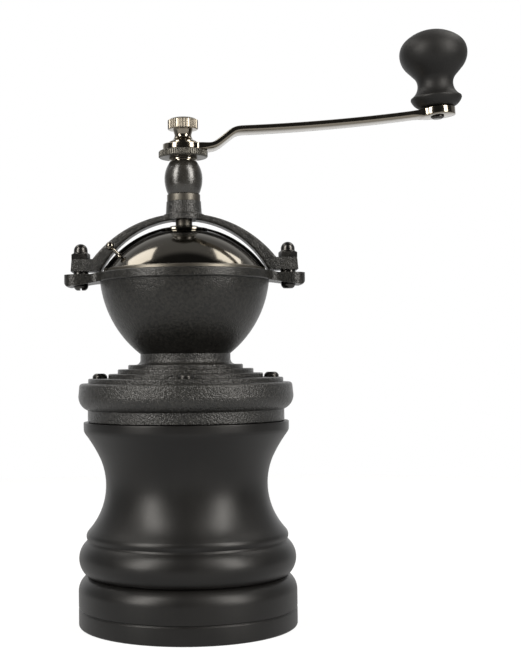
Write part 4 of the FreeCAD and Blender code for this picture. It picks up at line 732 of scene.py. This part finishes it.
def arm_surface():
    """Stations along the bent line, closer at both ends. At distance s from the first eye's centre the
    half width is the larger of the tapering bar's and of each eye's circle, the square root of
    radius squared minus distance squared. The section is a rectangle with rounded corners."""
    out = np.array([np.cos(ARM_END_SLOPE), np.sin(ARM_END_SLOPE)]) * ARM_END_R
    end = (ARM_END.x, ARM_END_RISE)
    line = path(
        (-ARM_EYE_R, 0), (ARM_LOW_X, 0), (ARM_HIGH_X, ARM_RISE), (*end, ARM_BOW, 1),
        (end[0] + out[0], end[1] + out[1]),
    )
    along = distances(line)
    walk = np.linspace(0, along[-1], ARM_WALK)
    even = points_at(walk, along, line)
    soft = blurred(even, bell_weights(ARM_BLUR_REACH, ARM_BLUR), "same")
    inside = (walk > ARM_BEND_FROM) & (walk < ARM_BEND_TO)
    even[inside] = soft[inside]
    tip = 1 - np.cos(np.linspace(0, np.pi / 2, ARM_TIP_STATIONS))
    first, last = tip * ARM_EYE_R, along[-1] - tip[::-1] * ARM_END_R
    middle = np.arange(ARM_EYE_R + ARM_STATION_STEP, last[0], ARM_STATION_STEP)
    stations = np.concatenate([first, middle, last])
    x, z = (np.interp(stations, walk, even[:, k]) for k in (0, 1))
    slope = np.gradient(z, stations, edge_order=1)
    lean = np.arctan2(slope, np.sqrt(np.maximum(1 - slope**2, 0)))
    bar = np.interp(stations, [ARM_EYE_R, along[-1] - ARM_END_R], [ARM_W / 2, ARM_END_W / 2])
    from_eye, from_end = stations - ARM_EYE_R, stations - (along[-1] - ARM_END_R)
    bar = np.where((from_eye < 0) | (from_end > 0), 0, bar)
    eye = np.sqrt(np.maximum(ARM_EYE_R**2 - from_eye**2, 0))
    end_eye = np.sqrt(np.maximum(ARM_END_R**2 - from_end**2, 0))
    half = np.maximum.reduce([bar, eye, end_eye, np.full_like(bar, ARM_LEAST_HALF)])
    thick = ARM_T + (ARM_END_T - ARM_T) * np.clip((from_end + ARM_END_R) / ARM_STEP_RUN, 0, 1)
    past_eye = np.clip((from_eye - ARM_EYE_R) / ARM_EDGE_RUN, 0, 1)
    before_end = np.clip(-(from_end + ARM_END_R) / ARM_EDGE_RUN, 0, 1)
    rounding = ARM_EYE_EDGE + (ARM_BAR_EDGE - ARM_EYE_EDGE) * past_eye * before_end
    edge = np.minimum(rounding, half * ARM_EDGE_SHARE)
    corner = np.linspace(0, np.pi / 2, ARM_CORNER_POINTS)
    angles = np.concatenate([corner + k * np.pi / 2 for k in range(4)])
    side = np.repeat([1, -1, -1, 1], len(corner))
    face = np.repeat([1, 1, -1, -1], len(corner))
    y = side * (half - edge)[:, None] + edge[:, None] * np.cos(angles)
    n = face * (thick / 2 - edge)[:, None] + edge[:, None] * np.sin(angles)
    points = np.stack(
        [x[:, None] - n * np.sin(lean)[:, None], y, z[:, None] + n * np.cos(lean)[:, None]], axis=-1
    )
    rows, columns = y.shape
    faces = net(rows, columns)
    faces.append(list(range(columns))[::-1])
    faces.append([(rows - 1) * columns + j for j in range(columns)])
    return points.reshape(-1, 3), faces


piece("arm", lifted(arm_surface(), ARM_MID_Z), "nickel", "crank", "crank_arm", finish=NICKEL)


# Dome, its turning door and the door's small ball

SHEET, SHEET_GAP, SKIRT_DEEP = 0.6, 0.3, 1.2
DOME_FLAT_R, DOME_HUB_R, DOOR_HUB_R, FERRULE_R = 7.0, 9.0, 7.5, 4.25
DOME_FLAT_Z = DOME_Z + np.sqrt(DOME_R**2 - DOME_FLAT_R**2)
DOOR_R = DOME_R - SHEET - SHEET_GAP
WINDOW = (194.5, 352.0)
DOOR_LAP = 3.5
SKIRT_FOOT = RIM_TOP - SKIRT_DEEP
TOP_STEPS, HUB_STEPS, CROWN_STEPS, SKIRT_STEPS = 5, 5, 45, 4
SOLID_COUNT, EMPTY_COUNT = 120, 72
BALL_TURN, BALL_UP, BALL_EDGE = 199.0, 10.2, 0.05


def sheet_with_window(inset, foot, solid_from, solid_to, hub_r):
    """A pressed sheet as two surfaces, outside and inside, each a grid over the way down the crown and
    the angle. Beyond the radius hub_r only the angles from solid_from to solid_to stay, and a wall
    joins the two surfaces along every edge that this leaves."""
    outer_r, side_r, flat_z = DOME_R - inset, SKIRT_R - inset, DOME_FLAT_Z - inset

    def half_line(radius, side, flat):
        """Radii and heights from the hole over the flat, the crown and the skirt, with the number of
        the row at the hub's edge. On the crown they are radius times the sine and cosine of the angle
        from the axis."""
        flat_edge = np.sqrt(radius**2 - (flat - DOME_Z) ** 2)
        crown_foot = np.sqrt(radius**2 - side**2)
        over = np.arctan2(flat_edge, flat - DOME_Z)
        down = np.arctan2(side, crown_foot)
        hub = np.arcsin(hub_r / radius)
        below_hub = np.linspace(hub, down, CROWN_STEPS + 1)[1:]
        crown = np.concatenate([np.linspace(over, hub, HUB_STEPS + 1), below_hub])
        top = np.linspace(FERRULE_R, flat_edge, TOP_STEPS + 1)[:-1]
        skirt = np.linspace(DOME_Z + crown_foot, foot, SKIRT_STEPS + 1)[1:]
        r = np.concatenate([top, radius * np.sin(crown), np.full(len(skirt), side)])
        z = np.concatenate([np.full(len(top), flat), DOME_Z + radius * np.cos(crown), skirt])
        return r, z, len(top) + HUB_STEPS

    outside_r, outside_z, hub_row = half_line(outer_r, side_r, flat_z)
    inside_r, inside_z, _ = half_line(outer_r - SHEET, side_r - SHEET, flat_z - SHEET)
    solid = np.linspace(solid_from, solid_to, SOLID_COUNT)
    empty = np.linspace(solid_to, solid_from + 360, EMPTY_COUNT)[1:-1]
    angles = np.radians(np.concatenate([solid, empty]))
    rows, columns = len(outside_r), len(angles)

    def grid(r, z):
        """Each radius and height turned to every angle: (r cos a, r sin a, z)."""
        x, y = r[:, None] * np.cos(angles), r[:, None] * np.sin(angles)
        return np.stack([x, y, np.repeat(z[:, None], columns, axis=1)], axis=-1).reshape(-1, 3)

    points = np.vstack([grid(outside_r, outside_z), grid(inside_r, inside_z)])
    kept = np.ones((rows - 1, columns), bool)
    kept[hub_row:, len(solid) - 1 :] = False
    i, j = np.nonzero(kept)
    m = (j + 1) % columns
    a, b, c, d = i * columns + j, i * columns + m, (i + 1) * columns + m, (i + 1) * columns + j
    far = rows * columns
    outside = np.stack([a, d, c, b], axis=1)
    inside = np.stack([b, c, d, a], axis=1) + far

    def walls(missing, p, q):
        """Faces from the outside's edge p to q over to the inside's, where the neighbour is missing."""
        return np.stack([p, q, q + far, p + far], axis=1)[missing]

    above = np.vstack([np.zeros((1, columns), bool), kept[:-1]])
    below = np.vstack([kept[1:], np.zeros((1, columns), bool)])
    before, after = np.roll(kept, 1, axis=1), np.roll(kept, -1, axis=1)
    edges = [
        walls(~above[i, j], a, b), walls(~below[i, j], c, d),
        walls(~before[i, j], d, a), walls(~after[i, j], b, c),
    ]
    faces = np.vstack([outside, inside, *edges])
    used = np.unique(faces)
    order = np.zeros(len(points), int)
    order[used] = np.arange(len(used))
    return points[used], order[faces].tolist()


def door_spot():
    """The place on the door's outside, on the line from the crown's centre through the small ball. It
    lies BALL_UP degrees above the crown's foot."""
    turn, up = np.radians(BALL_TURN), np.radians(BALL_UP)
    rise = up + np.arccos((SKIRT_R - SHEET - SHEET_GAP) / DOOR_R)
    way = Vector((np.cos(rise) * np.cos(turn), np.cos(rise) * np.sin(turn), np.sin(rise)))
    spot = way * DOOR_R
    place = Matrix.Translation(Vector((0, 0, DOME_Z)) + spot)
    return place @ Matrix.Rotation(turn, 4, "Z") @ Matrix.Rotation(np.pi / 2 - rise, 4, "Y")


def ball_line():
    """Riveted foot inside the door, stem, outer foot, stem and ball."""
    ball_r, stem_r, foot_r, foot_t, foot_bevel, reach = 1.65, 0.7, 1.3, 0.5, 0.3, 4.0
    ball_h = reach + SHEET + SHEET_GAP
    under, seat = SHEET + 0.02, -0.01
    neck_h = ball_h - np.sqrt(ball_r**2 - stem_r**2)
    return path(
        (0, -under - foot_t), (foot_r, -under - foot_t), (foot_r, -under), (stem_r, -under),
        (stem_r, seat), (foot_r, seat), (foot_r - foot_bevel, seat + foot_t), (stem_r, seat + foot_t),
        (stem_r, neck_h), (ball_r, ball_h, ball_r, 1), (0, ball_h + ball_r, ball_r, 1),
    )


crisp(piece(
    "dome_sheet",
    sheet_with_window(0.0, SKIRT_FOOT, WINDOW[1], WINDOW[0] + 360, DOME_HUB_R),
    "black_nickel", "housing", "dome", finish=POLISHED,
))
crisp(piece(
    "door_sheet",
    sheet_with_window(
        SHEET + SHEET_GAP, SKIRT_FOOT + SHEET_GAP, WINDOW[0] - DOOR_LAP, WINDOW[1] + DOOR_LAP,
        DOOR_HUB_R,
    ),
    "black_nickel", "door", "dome_door", finish=POLISHED,
))
piece(
    "door_ball",
    moved(revolved(worn(ball_line(), BALL_EDGE, longest=BALL_STEP), BALL_SIDES), door_spot()),
    "black_nickel", "door", "door_knob", finish=POLISHED,
)


# Stage: pale floor, surroundings, soft lamps, and the camera, sized and placed in metres

LAMP_COLOUR, LAMP_AIM = (1.0, 0.965, 0.91), (0, 0, 0.11)


def lamp(name, azimuth, height, distance, width, tall, power):
    """A soft rectangular lamp, turned towards LAMP_AIM. It stands azimuth degrees round from the front,
    at distance times the sine of that angle along X and minus its cosine along Y."""
    light = bpy.data.lights.new(name, "AREA")
    light.shape = "RECTANGLE"
    light.size, light.size_y, light.energy = width, tall, power
    light.color = LAMP_COLOUR
    obj = bpy.data.objects.new(name, light)
    bpy.context.scene.collection.objects.link(obj)
    angle = np.radians(azimuth)
    obj.location = (distance * np.sin(angle), -distance * np.cos(angle), height)
    obj.rotation_euler = (Vector(LAMP_AIM) - obj.location).to_track_quat("-Z", "Y").to_euler()


def seen_straight(tree, ray):
    """1 for a ray from the camera or one that has passed through glass, and 0 for the others."""
    return larger(tree, ray["Is Camera Ray"], ray["Is Transmission Ray"])


FLOOR_WHITE, FLOOR_MIRRORED, FLOOR_R, FLOOR_SIDES = 0.84, 0.43, 0.62, 96


def pale_floor():
    """Matt table top. For the camera it glows as well, and with the lamps' light that brings it up to
    white near the grinder, shadow included. In the metal it shows as a pale grey."""
    speck_size, darkest, palest = 3, (0.2, 0.2, 0.2), (0.24, 0.24, 0.24)
    made, tree, shader = finish("pale_floor", Roughness=0.9, Specular_IOR_Level=0.1)
    speck = noise(tree, speck_size, place_on(tree))
    tree.links.new(blend_colours(tree, speck, darkest, palest), shader.inputs["Base Color"])
    ray = add(tree, "ShaderNodeLightPath").outputs
    seen = seen_straight(tree, ray)
    mirrored = add(
        tree, "ShaderNodeMath", {0: ray["Is Glossy Ray"], 1: FLOOR_MIRRORED}, operation="MULTIPLY"
    )
    glow = add(
        tree, "ShaderNodeMath", {0: seen, 1: FLOOR_WHITE, 2: mirrored.outputs[0]},
        operation="MULTIPLY_ADD",
    )
    light = add(tree, "ShaderNodeEmission", {"Color": (1, 1, 1, 1), "Strength": glow.outputs[0]})
    both = add(tree, "ShaderNodeAddShader", {0: shader.outputs[0], 1: light.outputs[0]})
    tree.links.new(both.outputs[0], tree.nodes["Material Output"].inputs["Surface"])
    return made


def floor_disc():
    """A flat round sheet at the height 0: (r cos a, r sin a, 0)."""
    angles = np.arange(FLOOR_SIDES) * TURN / FLOOR_SIDES
    ring = np.stack([FLOOR_R * np.cos(angles), FLOOR_R * np.sin(angles), 0 * angles], axis=1)
    return ring.tolist(), [tuple(range(FLOOR_SIDES))]


corners, faces = floor_disc()
floor_mesh = bpy.data.meshes.new("floor")
floor_mesh.from_pydata(corners, [], faces)
floor_mesh.materials.append(pale_floor())
floor = bpy.data.objects.new("floor", floor_mesh)
bpy.context.scene.collection.objects.link(floor)

# The world is white for the camera, and its light on matt surfaces is even. Its picture in the metal goes
# by how far a ray points towards +Y: dark in front, dim behind, and rising to white straight behind.

SKY_LIGHT, FRONT_MIRRORED, REAR_MIRRORED = 0.25, 0.03, 0.28
REAR_FROM, REAR_TO, WALL_FROM, WALL_TO = -0.03, 0.1, 0.45, 0.93

world = bpy.data.worlds.new("studio")
bpy.context.scene.world = world
world.use_nodes = True
sky = world.node_tree
back = sky.nodes["Background"]
ray = add(sky, "ShaderNodeLightPath").outputs
way = add(sky, "ShaderNodeTexCoord").outputs["Generated"]
facing = add(sky, "ShaderNodeSeparateXYZ", {0: way}).outputs
rear = between(sky, facing["Y"], FRONT_MIRRORED, REAR_MIRRORED, REAR_FROM, REAR_TO)
wall = between(sky, facing["Y"], 0.0, 1.0, WALL_FROM, WALL_TO)
mirrored = larger(sky, rear, wall)
plain = add(
    sky, "ShaderNodeMix", {0: ray["Is Glossy Ray"], 2: SKY_LIGHT, 3: mirrored}, data_type="FLOAT"
).outputs[0]
sky.links.new(larger(sky, seen_straight(sky, ray), plain), back.inputs["Strength"])
back.inputs["Color"].default_value = (1, 1, 1, 1)

SOFTBOX = {"height": 0.46, "distance": 0.75, "width": 0.27, "tall": 0.74, "power": 7.0}
OVERHEAD = {"height": 0.83, "distance": 0.53, "width": 0.30, "tall": 0.34, "power": 1.4}
SOFTBOX_ANGLE, OVERHEAD_ANGLE = 50, 116

lamp("left_softbox", -SOFTBOX_ANGLE, **SOFTBOX)
lamp("right_softbox", SOFTBOX_ANGLE, **SOFTBOX)
lamp("left_overhead", -OVERHEAD_ANGLE, **OVERHEAD)
lamp("right_overhead", OVERHEAD_ANGLE, **OVERHEAD)

CAMERA_PLACE, CAMERA_TILT, CAMERA_ROLL = (0, -0.47, 0.09694), 91.30, -0.646

camera = bpy.data.cameras.new("camera")
camera.lens = 67.94
camera.sensor_width = 36.0
camera.shift_x = 0.1129
view = bpy.data.objects.new("camera", camera)
bpy.context.scene.collection.objects.link(view)
bpy.context.scene.camera = view
tilt, roll = np.radians(CAMERA_TILT), np.radians(CAMERA_ROLL)
look = Matrix.Rotation(tilt, 4, "X") @ Matrix.Rotation(roll, 4, "Z")
view.matrix_world = Matrix.Translation(CAMERA_PLACE) @ look

bpy.context.scene.view_settings.view_transform = "Standard"
